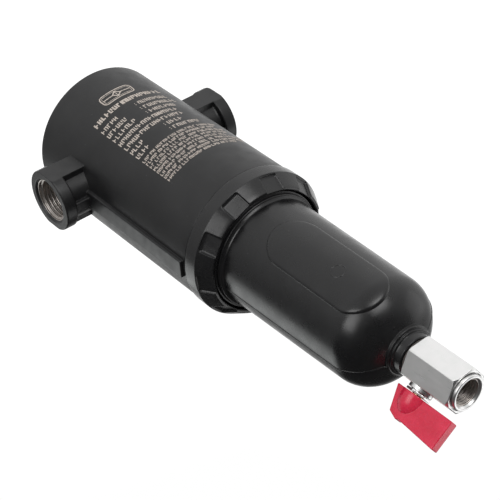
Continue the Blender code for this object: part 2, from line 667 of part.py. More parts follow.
def build_ball(plating):
    """Build the ball with its bore and the slot for the stem's tang."""
    ball = turned("ball", arc((0.0, 0.0), BALL_RADIUS, 90.0, -90.0, 14), SMALL, closed=False)
    combine(ball, rod("ball_bore", BALL_BORE, -BALL_RADIUS - 1.0, BALL_RADIUS + 1.0, SMALL), "DIFFERENCE")
    slot = block("slot", (-BALL_RADIUS - 1.0, -BALL_SLOT_HALF_WIDTH, BALL_SLOT_FLOOR),
                 (BALL_RADIUS + 1.0, BALL_SLOT_HALF_WIDTH, BALL_RADIUS + 1.0))
    combine(ball, bake(slot, toward(STEM_AZIMUTH)), "DIFFERENCE")
    ball.location = (0.0, 0.0, BALL_Z * MM)
    return dress(ball, "valve_ball", plating)


def stem_empty():
    """Return the empty on the stem's axis: its Z runs out along the stem, its X down the valve."""
    pivot = bpy.data.objects.new("stem_axis", None)
    pivot.matrix_world = Matrix.Translation((0.0, 0.0, BALL_Z * MM)) @ toward(STEM_AZIMUTH)
    bpy.context.collection.objects.link(pivot)
    return pivot


def build_stem(pivot, brass):
    """Build the valve stem with its collar below the seal and its tang in the ball."""
    stem = turned("stem", [
        (0.0, STEM_TOP), (STEM_RADIUS - 0.4, STEM_TOP), (STEM_RADIUS, STEM_TOP - 0.4),
        (STEM_RADIUS, STEM_COLLAR_FOOT), (0.0, STEM_COLLAR_FOOT),
    ], SMALL, closed=False)
    tang = block("tang", (-TANG_HALF_LENGTH, -TANG_HALF_WIDTH, TANG_FOOT),
                 (TANG_HALF_LENGTH, TANG_HALF_WIDTH, STEM_COLLAR_FOOT + 1.0))
    combine(stem, tang, "UNION")
    stem.parent = pivot
    return dress(stem, "valve_stem", brass)


def build_gland(pivot, plating, white):
    """Build the stem seal and the gland nut above it."""
    seal = tube("stem_seal", STEM_SEAL_RADIUS, STEM_HOLE, STEM_SEAL_FOOT, STEM_SEAL_TOP, SMALL)
    seal.parent = pivot
    dress(seal, "stem_seal", white)
    nut = prism("gland", polygon(6, GLAND_HEAD_ACROSS_FLATS), GLAND_HEAD_FOOT, GLAND_HEAD_TOP)
    combine(nut, rod("plug", STEM_SEAL_RADIUS, GLAND_PLUG_FOOT, GLAND_HEAD_FOOT + 0.5, SMALL), "UNION")
    hole = rod("gland_hole", STEM_HOLE, GLAND_PLUG_FOOT - 1.0, GLAND_HEAD_TOP + 1.0, SMALL)
    combine(nut, hole, "DIFFERENCE")
    nut.parent = pivot
    return dress(nut, "gland_nut", plating)


def build_handle(pivot, red):
    """Build the wing handle: a tapered blade with a lug behind it and a bullet-shaped hub on the stem."""
    handle = prism("blade", [
        (WING_BACK, WING_FOOT), (WING_TIP, WING_FOOT), (WING_TIP, WING_CREST_TIP),
        (WING_CREST_X, WING_CREST), (WING_LUG_X, WING_LUG), (WING_CREST_BACK_X, WING_CREST_BACK),
    ], -WING_HALF_THICKNESS, WING_HALF_THICKNESS)
    bake(handle, Matrix.Rotation(math.radians(90.0), 4, "X"))
    stretch = (HUB_CREST - HUB_SHOULDER) / HUB_RADIUS
    crown = [(x, HUB_SHOULDER + y * stretch) for x, y in arc((0.0, 0.0), HUB_RADIUS, 90.0, 0.0, 7)]
    hub = turned("hub", [*crown, (HUB_RADIUS, WING_FOOT), (0.0, WING_FOOT)], SMALL, closed=False)
    combine(handle, hub, "UNION")
    hole = rod("stem_socket", STEM_HOLE, WING_FOOT - 2.0, STEM_TOP + GAP, SMALL)
    combine(handle, hole, "DIFFERENCE")
    handle.parent = pivot
    return dress(handle, "valve_handle", red)


def build():
    """Build every piece of the moisture separator."""
    clear_scene()
    paint = make_material("black_paint", BLACK_PAINT, 0.42, 0.0)
    moulding = make_material("black_moulding", BLACK_MOULDING, 0.5, 0.0)
    rubber = make_material("rubber", RUBBER, 0.7, 0.0)
    steel = make_material("stainless_steel", STEEL, 0.3, 1.0)
    wire = make_material("knitted_wire", WIRE, 0.5, 1.0)
    plating = make_material("nickel_plating", PLATING, 0.22, 1.0)
    brass = make_material("brass", BRASS, 0.3, 1.0)
    white = make_material("white_plastic", SEAT_WHITE, 0.45, 0.0)
    red = make_material("red_plastic", HANDLE_RED, 0.35, 0.0)
    fibre = make_material("fibre", FIBRE, 0.8, 0.0)

    build_head(paint)
    build_clamp_ring(moulding)
    washer = tube("washer", SLIP_WASHER_OUTER, SLIP_WASHER_INNER,
                  SLIP_WASHER_FOOT, SLIP_WASHER_TOP, FINE)
    dress(washer, "slip_washer", white)
    build_bowl(paint)
    groove_middle = 0.5 * (BOWL_GROOVE_TOP + BOWL_GROOVE_FOOT)
    o_ring("bowl_o_ring", BOWL_O_RING_RADIUS, BOWL_O_RING_SECTION, groove_middle, FINE, rubber)
    build_element(steel, wire, rubber)
    build_tie_rod(steel)
    washer = tube("washer", DRAIN_WASHER_RADIUS, BOSS_BORE, DRAIN_WASHER_FOOT, DRAIN_WASHER_TOP, MEDIUM)
    dress(washer, "drain_washer", fibre)
    build_valve_body(plating)
    build_valve_insides(plating, white)
    build_ball(plating)
    pivot = stem_empty()
    build_stem(pivot, brass)
    build_gland(pivot, plating, white)
    build_handle(pivot, red)


build()
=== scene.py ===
"""Looks of the moisture separator: detailed meshes, procedural finishes, soft studio light and camera.

Lengths are in millimetres and the mesh builders scale them to metres. The camera, the floor and the lights
are in metres. The frame gives the size and the place of each piece, and the values below give the detail.
"""

import json
import math
import random

import bmesh
import bpy
from mathutils import Matrix, Vector


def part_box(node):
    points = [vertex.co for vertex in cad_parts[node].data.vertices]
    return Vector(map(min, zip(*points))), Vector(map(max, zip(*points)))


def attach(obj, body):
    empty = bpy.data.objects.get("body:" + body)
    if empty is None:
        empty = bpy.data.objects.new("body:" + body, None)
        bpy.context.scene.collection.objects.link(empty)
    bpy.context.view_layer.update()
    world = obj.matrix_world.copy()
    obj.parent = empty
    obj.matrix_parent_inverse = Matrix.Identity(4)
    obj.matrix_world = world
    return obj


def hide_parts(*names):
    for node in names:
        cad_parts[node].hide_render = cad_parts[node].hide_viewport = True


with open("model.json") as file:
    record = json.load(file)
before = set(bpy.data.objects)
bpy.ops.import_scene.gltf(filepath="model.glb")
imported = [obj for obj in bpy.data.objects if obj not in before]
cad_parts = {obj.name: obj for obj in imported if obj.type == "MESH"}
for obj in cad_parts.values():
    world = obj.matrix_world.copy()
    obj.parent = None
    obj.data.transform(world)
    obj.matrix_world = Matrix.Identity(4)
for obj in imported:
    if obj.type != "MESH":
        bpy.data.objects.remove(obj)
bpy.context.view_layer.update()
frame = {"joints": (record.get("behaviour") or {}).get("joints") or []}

MM = 0.001
FULL_TURN = 2.0 * math.pi
WELD = 2.0e-4
SEED = 11

ROUND = 160
MEDIUM = 96
SMALL = 64
EMBED = 0.3


def span(node):
    """Return the lowest and highest corner of a CAD node, in millimetres."""
    low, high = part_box(node)
    return Vector(low) / MM, Vector(high) / MM


# ---------------------------------------------------------------- sizes from the frame
HEAD_LOW, HEAD_HIGH = span("head_casting")
HEAD_RADIUS = HEAD_HIGH.y
HEAD_TOP = HEAD_HIGH.z
HEAD_FOOT = HEAD_LOW.z
PORT_REACH = HEAD_HIGH.x
RING_LOW, RING_HIGH = span("clamp_ring")
RING_RADIUS = 34.6
BOWL_LOW, BOWL_HIGH = span("bowl")
BOWL_TOP = BOWL_HIGH.z
BOSS_FOOT = BOWL_LOW.z
BOWL_FLANGE_RADIUS = BOWL_HIGH.x
VALVE_LOW, VALVE_HIGH = span("valve_body")
HEX_FOOT = VALVE_LOW.z
MALE_THREAD_TOP = VALVE_HIGH.z
INSERT_LOW, INSERT_HIGH = span("valve_end_insert")
CAP_LOW, CAP_HIGH = span("element_top_cap")
FOOT_CAP_LOW, FOOT_CAP_HIGH = span("element_bottom_cap")
ROD_LOW, ROD_HIGH = span("tie_rod")
STEM_HINGE = next(joint for joint in frame["joints"] if joint["name"] == "drain_quarter_turn")
BALL_Z = STEM_HINGE["pos_m"][2] / MM
STEM_AZIMUTH = math.degrees(math.atan2(-STEM_HINGE["axis"][1], -STEM_HINGE["axis"][0]))

# ---------------------------------------------------------------- detail of the head
HEAD_EDGE = 1.2
HEAD_BORE = 27.0
HEAD_ROOF = 20.0
SHOULDER_Z = -66.0
THREAD_BORE = 31.0
SIDE_RIB_REACH = 35.5
SIDE_RIB_HALF_WIDTH = 4.5
SIDE_RIB_FOOT = -82.6
PORT_FLANGE_RADIUS = 14.9
PORT_FLANGE_THICKNESS = 6.0
PORT_FLAT = 13.7
PORT_NECK_RADIUS = 12.2
PORT_THREAD_BORE = 10.0
PORT_THREAD_DEPTH = 15.0
PORT_PASSAGE = 8.0
PORT_RIB_HALF_WIDTH = 5.8
PORT_WEB_HALF_WIDTH = 2.4
PORT_WEB_REACH = 14.0
PORT_PITCH = 1.814
PORT_THREAD_HEIGHT = 0.95
PILLAR_RADIUS = 11.0
SPIGOT_FOOT = -21.2
SPIGOT_BORE = 7.0
SPIGOT_GROOVE_RADIUS = 9.2
SPIGOT_GROOVE_TOP = -14.8
SPIGOT_GROOVE_FOOT = -17.2
SPIGOT_BORE_TOP = 5.0
ROD_SOCKET_FOOT = 8.5
ARM_RADIUS = 11.4
ROD_HOLE = 3.3

# ---------------------------------------------------------------- detail of the ring
RING_BAND_FOOT = -91.4
RING_FOOT_RADIUS = 30.6
RING_BORE = 28.8
RING_THREAD_RADIUS = 30.6
POCKET_COUNT = 10
POCKET_PHASE = -4.9
POCKET_WIDTH = 9.4
POCKET_TOP = -91.7
POCKET_DEPTH = 1.7
RING_PITCH = 3.0
RING_THREAD_HEIGHT = 0.5

# ---------------------------------------------------------------- detail of the bowl
BOWL_SPIGOT_RADIUS = 26.6
BOWL_GROOVE_RADIUS = 24.2
BOWL_GROOVE_TOP = -60.2
BOWL_GROOVE_FOOT = -63.2
BOWL_FLANGE_FOOT = -70.4
BOWL_COLLAR_RADIUS = 28.2
BOWL_COLLAR_FOOT = -97.2
BOWL_RIDGE_RADIUS = 27.2
BOWL_RIDGE_FOOT = -98.8
BOWL_NECK_TOP = -101.2
WALL_TOP_RADIUS = 25.6
WALL_FOOT_RADIUS = 24.8
BOWL_INSIDE_TOP = 22.6
BOWL_INSIDE_FOOT = 22.0
DOME_TOP = -169.0
DOME_FOOT = -186.0
DOME_INSIDE_FOOT = -182.6
DRAIN_HOLE = 4.2
BOSS_RING_RADIUS = 11.4
BOSS_RING_FOOT = -187.6
BOSS_STEP_RADIUS = 10.4
BOSS_STEP_FOOT = -188.6
BOSS_RADIUS = 9.3
BOSS_BORE = 6.9
BOSS_BORE_TOP = -184.4
PAD_AZIMUTH = -104.4
PAD_WIDTH = 25.2
PAD_TOP = -113.9
PAD_FOOT = -177.6
PAD_RISE = 0.75
PAD_FOOT_RISE = 1.6
PAD_SECTION = ((-0.3, -0.6), (0.0, -0.2), (0.08, 0.34), (0.24, 0.64), (0.48, 0.85), (0.8, 0.96), (1.2, 1.0))
MARK_SECTION = ((-0.4, 0.6), (-0.22, 1.12), (0.0, 1.2), (0.22, 1.12), (0.4, 0.6))
MARK_Z = -153.5
MARK_RADIUS = 3.2
PARTING_AZIMUTHS = (168.0, -12.0)
PARTING_HALF_WIDTH = 0.45
PARTING_RISE = 0.32

# ---------------------------------------------------------------- detail of the drain valve
HEX_TOP = -193.8
HEX_ACROSS_FLATS = 18.5
HEX_CHAMFER_RADIUS = 9.5
HEX_TOP_SLOPE = 0.5
HEX_FOOT_SLOPE = 0.8
HEX_EDGE = 0.35
COUNTERBORE_RADIUS = 8.6
COUNTERBORE_TOP = HEX_FOOT + 1.2
MALE_THREAD_RADIUS = 6.5
VALVE_PASSAGE = 3.8
VALVE_CHAMBER = 7.5
CHAMBER_TOP = 6.3
INSERT_THREAD_RADIUS = 7.1
INSERT_RIM_RADIUS = 8.1
INSERT_RIM_TOP = COUNTERBORE_TOP - 0.4
INSERT_THREAD_BORE = 5.9
INSERT_PITCH = 1.337
GLAND_BOSS_RADIUS = 5.4
GLAND_BOSS_TOP = 10.9
GLAND_CHAMBER_RADIUS = 4.1
GLAND_CHAMBER_FOOT = 8.3
GLAND_PLUG_RADIUS = 3.7
GLAND_PLUG_FOOT = 9.6
GLAND_HEAD_FOOT = 11.2
GLAND_HEAD_TOP = 12.2
GLAND_HEAD_ACROSS_FLATS = 9.6
STEM_HOLE = 2.6
STEM_RADIUS = 2.2
STEM_FOOT = 4.5
STEM_TOP = 20.0
STEM_SHOULDER = 6.5
STEM_NECK = 6.2
TANG_TOP = 7.2
TANG_HALF = (2.1, 1.0)
SEAL_FOOT = 8.6
SEAL_TOP = 9.3
SEAT_BORE = 4.4
BALL_RADIUS = 5.6
BALL_BORE = 3.6
BALL_SLOT_HALF = 1.4
BALL_SLOT_FLOOR = 4.0

# ---------------------------------------------------------------- detail of the handle
WING_HALF_THICKNESS = 2.5
WING_BACK = -9.4
WING_TIP = 21.2
WING_FOOT = 12.6
WING_CREST_BACK_X = -5.0
WING_CREST_BACK = 23.4
WING_LUG_X = -0.4
WING_LUG = 25.0
WING_CREST_X = 0.5
WING_CREST = 24.4
WING_CREST_TIP = 26.0
WING_EDGE = 0.7
HUB_RADIUS = 6.2
HUB_CREST = 22.4
HUB_SHOULDER = 13.0

# ---------------------------------------------------------------- detail of the element
SCREEN_RADIUS = 20.0
SCREEN_THICKNESS = 0.6
SCREEN_WINDOWS = 12
SCREEN_ROWS = 5
KNIT_RADIUS = 18.7
KNIT_ROWS = 30
KNIT_LOOPS = 44
KNIT_STEPS = 10
KNIT_WIRE = 0.16
KNIT_SWAY = 0.6
KNIT_RISE = 0.85
KNIT_DEPTH = 0.22
CORE_FILL_RADIUS = 18.2
MESH_INNER = 9.8
CORE_RADIUS = 9.4
CORE_WINDOWS = 6
COLLAR_BORE = 11.4
COLLAR_RADIUS = 12.8
CAP_WALL = 0.8
CAP_CORNER = 0.7
ELEMENT_RING = (10.25, -16.0, 0.72)
ROD_CORE = 2.4
ROD_THREAD = (2.9, 2.45, 2.2)
ROD_THREAD_TOP = -84.0
ROD_PITCH = 1.0

# ---------------------------------------------------------------- detail of the seals
BOWL_RING_MIDDLE = 25.7
BOWL_RING_SECTION = 1.05
SLIP_BORE = 28.6
RING_ARC = (0.0, 337.5, 15)

# ---------------------------------------------------------------- print on the head, from port level down
PRINT_LIFT = 0.05
ROW_START = -127.0
VALUE_START = -92.0
TITLE_ROW = (-2.0, 2.9, ((-126.5, 9), (-97.0, 9)))
TITLE_WEIGHT = 0.27
FIELD_ROWS = (
    (-7.9, 2.5, 5, 8), (-12.4, 2.5, 6, 9), (-16.9, 2.5, 7, 7), (-21.4, 2.5, 13, 6), (-25.9, 2.5, 11, 6),
    (-30.4, 2.5, 4, 4), (-34.9, 2.5, 4, 7),
)
NOTE_TOP = -39.6
NOTE_PITCH = 2.65
NOTE_ROWS = 8
NOTE_HEIGHT = 1.75
NOTE_END = -62.0
SIGN_CENTRE = (-93.5, 5.8)
SIGN_HALF = (8.4, 3.4)
SIGN_LINE = 0.6

# ---------------------------------------------------------------- camera, turned to suit a square picture
CAMERA_PLACE = Vector((-0.3406, -0.4566, -0.5667))
CAMERA_TARGET = Vector((-0.0035, 0.0023, -0.09))
CAMERA_UP = Vector((0.433, -0.782, 0.447))
CAMERA_LENS = 122.8
FLOOR_Z = -0.75
FLOOR_SIZE = 60.0

# ---------------------------------------------------------------- light: across, up and away from the target
WORLD_DIM = 0.05
WORLD_PALE = 0.92
WORLD_SIDE = 0.35
WORLD_BEHIND = 0.35
WALL_REACH = (0.80, 0.97)
WALL_LIGHT = 0.7
SOFT_BOXES = (
    ("left_softbox", (-0.50, 0.09, -0.62), 0.48, 2.6, (1.0, 1.0, 1.0)),
    ("front_softbox", (0.22, 0.39, -0.66), 0.40, 2.2, (1.0, 1.0, 1.0)),
    ("right_softbox", (0.78, 0.16, 0.05), 0.50, 0.5, (1.0, 1.0, 1.0)),
    ("top_softbox", (0.10, 0.85, 0.10), 0.50, 0.1, (1.0, 1.0, 1.0)),
    ("low_right_softbox", (0.64, -0.42, 0.20), 0.45, 0.9, (1.0, 1.0, 1.0)),
    ("low_left_softbox", (-0.50, -0.39, 0.42), 0.42, 0.85, (0.97, 1.0, 0.99)),
)


# ================================================================ mesh tools
def finish_mesh(name, bm):
    """Weld and orient a bmesh, scale it to metres and link it as an object."""
    bmesh.ops.remove_doubles(bm, verts=bm.verts, dist=WELD)
    bmesh.ops.recalc_face_normals(bm, faces=bm.faces)
    bmesh.ops.scale(bm, vec=(MM, MM, MM), verts=bm.verts)
    mesh = bpy.data.meshes.new(name)
    bm.to_mesh(mesh)
    bm.free()
    item = bpy.data.objects.new(name, mesh)
    bpy.context.scene.collection.objects.link(item)
    return item


def turned(name, profile, steps, closed=True):
    """Spin an (r, z) profile about the Z axis; an open profile starts and ends on the axis."""
    bm = bmesh.new()
    verts = [bm.verts.new((radius, 0.0, height)) for radius, height in profile]
    edges = [bm.edges.new(pair) for pair in zip(verts, verts[1:])]
    if closed:
        edges.append(bm.edges.new((verts[-1], verts[0])))
    bmesh.ops.spin(
        bm, geom=verts + edges, axis=(0.0, 0.0, 1.0), cent=(0.0, 0.0, 0.0),
        angle=FULL_TURN, steps=steps, use_merge=True,
    )
    return finish_mesh(name, bm)


def tube(name, outer, inner, low, high, steps, edge=0.0):
    """Make a ring between two heights, with a small chamfer on its corners."""
    return turned(name, [
        (inner + edge, high), (outer - edge, high), (outer, high - edge), (outer, low + edge),
        (outer - edge, low), (inner + edge, low), (inner, low + edge), (inner, high - edge),
    ], steps)


def rod(name, radius, low, high, steps):
    """Make a plain round bar between two heights."""
    return turned(name, [(0.0, high), (radius, high), (radius, low), (0.0, low)], steps, closed=False)


def prism(name, outline, low, high):
    """Extrude an (x, y) outline between two heights."""
    bm = bmesh.new()
    face = bm.faces.new([bm.verts.new((x, y, low)) for x, y in outline])
    swept = bmesh.ops.extrude_face_region(bm, geom=[face])
    moved = [part for part in swept["geom"] if isinstance(part, bmesh.types.BMVert)]
    bmesh.ops.translate(bm, vec=(0.0, 0.0, high - low), verts=moved)
    return finish_mesh(name, bm)


def block(name, low, high):
    """Make a box between two corners."""
    outline = [(low[0], low[1]), (high[0], low[1]), (high[0], high[1]), (low[0], high[1])]
    return prism(name, outline, low[2], high[2])


def soften(item, width, segments=3, angle=30.0):
    """Round the edges of a piece for good."""
    modifier = item.modifiers.new("soften", "BEVEL")
    modifier.width = width * MM
    modifier.segments = segments
    modifier.limit_method = "ANGLE"
    modifier.angle_limit = math.radians(angle)
    return settle(item)


def settle(item):
    """Apply the modifiers of a piece."""
    graph = bpy.context.evaluated_depsgraph_get()
    mesh = bpy.data.meshes.new_from_object(item.evaluated_get(graph))
    item.modifiers.clear()
    item.data = mesh
    return item


def combine(target, tool, operation):
    """Join, cut or intersect a piece with a tool, then drop the tool."""
    modifier = target.modifiers.new(operation.lower(), "BOOLEAN")
    modifier.operation = operation
    modifier.solver = "EXACT"
    modifier.object = tool
    settle(target)
    bpy.data.objects.remove(tool, do_unlink=True)
    return target


def bake(item, matrix):
    """Apply a turn or a move, in millimetres, to the mesh itself."""
    scaled = matrix.copy()
    scaled.translation = matrix.translation * MM
    item.data.transform(scaled)
    return item


def polygon(sides, across_flats, phase=0.0):
    """Return a regular polygon whose first flat faces the phase angle, in degrees."""
    radius = 0.5 * across_flats / math.cos(math.pi / sides)
    angles = [math.radians(phase) + math.pi * (2 * side + 1) / sides for side in range(sides)]
    return [(radius * math.cos(angle), radius * math.sin(angle)) for angle in angles]


def arc(centre, radius, start, end, steps):
    """Return points on an arc, from one angle to another in degrees."""
    angles = [math.radians(start + (end - start) * step / steps) for step in range(steps + 1)]
    return [(centre[0] + radius * math.cos(a), centre[1] + radius * math.sin(a)) for a in angles]


def around(radius, angle, height):
    """Return the point at a radius, an angle in radians and a height."""
    return (radius * math.cos(angle), radius * math.sin(angle), height)


def evenly(start, end, count):
    """Return points spaced evenly along a straight line, with both its ends."""
    return [
        (start[0] + (end[0] - start[0]) * i / count, start[1] + (end[1] - start[1]) * i / count)
        for i in range(count + 1)
    ]


def join_rows(bm, rows):
    """Join each closed row of vertices to the next one with four-sided faces."""
    for first, second in zip(rows, rows[1:]):
        for index in range(len(first)):
            following = (index + 1) % len(first)
            bm.faces.new((first[index], first[following], second[following], second[index]))


def stretch(profile, pitch):
    """Add points so that no straight run of a profile is longer than the pitch."""
    points = [profile[0]]
    for start, end in zip(profile, profile[1:]):
        count = max(1, math.ceil(math.dist(start, end) / pitch))
        points += evenly(start, end, count)[1:]
    return points


def toward(azimuth):
    """Turn a piece built along Z so that it points sideways at this azimuth."""
    return Matrix.Rotation(math.radians(azimuth), 4, "Z") @ Matrix.Rotation(math.radians(90.0), 4, "Y")


def stem_frame():
    """Return the stem's frame: Z out along the stem, X down the valve."""
    return Matrix.Translation((0.0, 0.0, BALL_Z)) @ toward(STEM_AZIMUTH)


def shade(item, angle=28.0):
    """Shade round faces smooth and keep real edges."""
    item.data.shade_smooth()
    item.data.set_sharp_from_angle(angle=math.radians(angle))
    modifier = item.modifiers.new("face_weights", "WEIGHTED_NORMAL")
    modifier.keep_sharp = True
    modifier.weight = 60
    return item


def thread_sleeve(name, crest, root, back, low, high, pitch, columns=120, per_turn=12):
    """Make a sleeve whose face is a helical thread, crest to root, on a solid back."""
    rows = math.ceil((high - low) / pitch * per_turn)
    bm = bmesh.new()
    grid = []
    for row in range(rows + 1):
        height = low + (high - low) * row / rows
        ring = []
        for column in range(columns):
            turn = column / columns
            phase = (height / pitch - turn) % 1.0
            wave = min(1.0, max(0.0, 1.9 * abs(2.0 * phase - 1.0) - 0.45))
            fade = min(1.0, (height - low) / (0.6 * pitch), (high - height) / (0.6 * pitch))
            radius = root + (crest - root) * wave * max(0.0, fade)
            ring.append(bm.verts.new(around(radius, FULL_TURN * turn, height)))
        grid.append(ring)
    for height in (high, low):
        grid.append([bm.verts.new(around(back, FULL_TURN * c / columns, height)) for c in range(columns)])
    join_rows(bm, grid + grid[:1])
    return shade(finish_mesh(name, bm), 60.0)


# ================================================================ node tools
class Graph:
    """A node tree with short calls for the nodes that the finishes and the studio light share."""

    def __init__(self, owner):
        owner.use_nodes = True
        self.owner = owner
        self.nodes = owner.node_tree.nodes
        self.links = owner.node_tree.links

    def node(self, kind, inputs, **settings):
        """Add a node and return its outputs; each input is a value or a socket to link."""
        node = self.nodes.new("ShaderNode" + kind)
        for name, value in settings.items():
            setattr(node, name, value)
        for name, value in inputs.items():
            if isinstance(value, bpy.types.NodeSocket):
                self.links.new(value, node.inputs[name])
            else:
                node.inputs[name].default_value = value
        return node.outputs

    def ramp(self, value, low, high, first=0.0, last=1.0, kind="LINEAR"):
        """Map a value from one range to another, clamped."""
        inputs = {"From Min": low, "From Max": high, "To Min": first, "To Max": last, "Value": value}
        return self.node("MapRange", inputs, interpolation_type=kind)["Result"]

    def math(self, operation, first, second=0.0):
        """Return the result of one math node."""
        return self.node("Math", {0: first, 1: second}, operation=operation)["Value"]

    def dot(self, first, second):
        """Return the dot product of two vectors."""
        return self.node("VectorMath", {0: first, 1: second}, operation="DOT_PRODUCT")["Value"]


class Shader(Graph):
    """A Principled material, with the textures and bumps that the finishes share."""

    def __init__(self, name, colour, roughness, metallic=0.0):
        super().__init__(bpy.data.materials.new(name))
        self.shader = self.nodes["Principled BSDF"]
        self.shader.inputs["Base Color"].default_value = (*colour, 1.0)
        self.shader.inputs["Roughness"].default_value = roughness
        self.shader.inputs["Metallic"].default_value = metallic
        self.place = self.node("TexCoord", {})["Object"]
        self.normal = None

    def stretched(self, scale):
        """Return the object coordinates, scaled along each axis."""
        return self.node("Mapping", {"Scale": scale, "Vector": self.place})["Vector"]

    def noise(self, size, detail=3.0, vector=None, rough=0.5):
        """Return a noise value whose grains are about this size, in millimetres."""
        place = vector or self.place
        inputs = {"Scale": 1.0 / (size * MM), "Detail": detail, "Roughness": rough, "Vector": place}
        return self.node("TexNoise", inputs)["Fac"]

    def cells(self, size):
        """Return the distance to the nearest of scattered points, this far apart in millimetres."""
        return self.node("TexVoronoi", {"Scale": 1.0 / (size * MM), "Vector": self.place})["Distance"]

    def share(self, value, most):
        """Scale a value from 0 to 1 down to this most, clamped."""
        return self.ramp(value, 0.0, 1.0, 0.0, most)

    def blend(self, value, first, second):
        """Mix two colours, or a colour socket and a colour, by a value."""
        first, second = [(*c, 1.0) if isinstance(c, tuple) else c for c in (first, second)]
        return self.node("Mix", {"Factor": value, 6: first, 7: second}, data_type="RGBA")[2]

    def bump(self, value, height, strength=1.0):
        """Add a bump of this height, in millimetres."""
        inputs = {"Strength": strength, "Distance": height * MM, "Height": value}
        if self.normal is not None:
            inputs["Normal"] = self.normal
        self.normal = self.node("Bump", inputs)["Normal"]

    def bevelled(self, radius):
        """Return the normal with edges rounded by a radius, in millimetres."""
        return self.node("Bevel", {"Radius": radius * MM}, samples=6)["Normal"]

    def rounded(self, radius):
        """Round the edges in the shading by a radius, in millimetres."""
        self.normal = self.bevelled(radius)

    def edges(self, radius, low, high):
        """Return 1 on edges and 0 on open faces, from a rounded normal."""
        true_normal = self.node("NewGeometry", {})["Normal"]
        return self.ramp(self.dot(self.bevelled(radius), true_normal), high, low)

    def done(self, colour=None, roughness=None):
        """Connect what was made and return the material."""
        if colour is not None:
            self.links.new(colour, self.shader.inputs["Base Color"])
        if roughness is not None:
            self.links.new(roughness, self.shader.inputs["Roughness"])
        if self.normal is not None:
            self.links.new(self.normal, self.shader.inputs["Normal"])
        return self.owner


def black_coat(name, dark, light, gloss, grain, depth, edge):
    """Black coating on cast aluminium: fine grain, cloudy gloss, faint scuffs and lighter edges."""
    made = Shader(name, dark, gloss[0])
    made.rounded(edge)
    cloud = made.noise(14.0, 4.0)
    fine = made.noise(grain, 2.0)
    scuffs = made.ramp(made.noise(2.2, 6.0, made.stretched((1.0, 1.0, 0.18)), 0.7), 0.62, 0.74)
    specks = made.ramp(made.cells(5.5), 0.045, 0.02)
    rubbed = made.ramp(made.noise(1.6, 4.0), 0.45, 0.75)
    edge_wear_and_highlight = made.math("MULTIPLY", made.edges(0.5, 0.80, 0.985), rubbed)
    colour = made.blend(made.ramp(cloud, 0.3, 0.7), dark, light)
    colour = made.blend(made.share(scuffs, 0.10), colour, (0.07, 0.07, 0.072))
    colour = made.blend(made.share(specks, 0.4), colour, (0.12, 0.12, 0.12))
    colour = made.blend(made.share(edge_wear_and_highlight, 0.3), colour, (0.045, 0.045, 0.047))
    rough = made.ramp(made.noise(6.0, 5.0), 0.3, 0.7, *gloss)
    made.bump(fine, depth, 0.8)
    made.bump(made.noise(9.0, 2.0), depth * 3.0, 0.25)
    return made.done(colour, rough)


def bare_metal(name, colour, stain, smooth, dull, direction):
    """Machined or plated metal: fine lines along one direction, stains and soft edges."""
    made = Shader(name, colour, smooth, 1.0)
    made.rounded(0.25)
    lines = made.noise(0.5, 3.0, made.stretched(direction))
    patch = made.ramp(made.noise(4.0, 4.0), 0.45, 0.75)
    tint = made.blend(made.share(patch, 0.5), colour, stain)
    rough = made.ramp(lines, 0.25, 0.75, smooth, dull)
    made.bump(lines, 0.012, 0.35)
    return made.done(tint, rough)


def ink():
    """Printed ink: warm beige, broken up a little at a fine scale."""
    made = Shader("panel_ink", (0.50, 0.44, 0.38), 0.55)
    gaps = made.ramp(made.noise(0.45, 3.0), 0.34, 0.5)
    colour = made.blend(gaps, (0.25, 0.22, 0.20), (0.50, 0.44, 0.39))
    return made.done(colour, made.ramp(made.noise(1.5), 0.3, 0.7, 0.45, 0.65))


def red_plastic():
    """Moulded red plastic: soft gloss, faint flow marks and every edge painted paler as a highlight."""
    made = Shader("handle_red", (0.55, 0.02, 0.06), 0.26)
    made.shader.inputs["Subsurface Weight"].default_value = 0.12
    made.shader.inputs["Subsurface Radius"].default_value = (0.004, 0.0008, 0.0008)
    made.rounded(0.3)
    flow = made.ramp(made.noise(5.0, 4.0, made.stretched((1.0, 1.0, 0.4))), 0.3, 0.7)
    # Painted highlight: every edge of the handle is mixed towards pale pink, wherever the light falls.
    edge_wear_and_highlight = made.share(made.edges(0.5, 0.8, 0.98), 0.35)
    colour = made.blend(flow, (0.46, 0.010, 0.036), (0.56, 0.020, 0.058))
    colour = made.blend(edge_wear_and_highlight, colour, (0.75, 0.16, 0.2))
    made.bump(made.noise(0.35, 2.0), 0.02, 0.5)
    return made.done(colour, made.ramp(made.noise(2.0, 3.0), 0.3, 0.7, 0.22, 0.34))


def soft_material(name, colour, other, roughness, grain):
    """Rubber, plastic or fibre: a slightly mottled, finely grained surface."""
    made = Shader(name, colour, roughness)
    tint = made.blend(made.ramp(made.noise(3.0, 3.0), 0.3, 0.7), colour, other)
    made.bump(made.noise(grain, 2.0), 0.02, 0.6)
    return made.done(tint, made.ramp(made.noise(1.2), 0.3, 0.7, roughness - 0.06, roughness + 0.08))


def pale_stage():
    """Plain pale paper for the floor."""
    made = Shader("stage_paper", (0.82, 0.82, 0.81), 0.7)
    tint = made.blend(made.noise(180.0, 2.0), (0.80, 0.80, 0.79), (0.84, 0.84, 0.835))
    return made.done(tint)


def dress(piece, material, body, node=None):
    """Give a piece its finish and body, and hide the CAD node that it stands for."""
    piece.data.materials.clear()
    piece.data.materials.append(material)
    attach(piece, body)
    if node:
        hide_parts(node)
    return piece


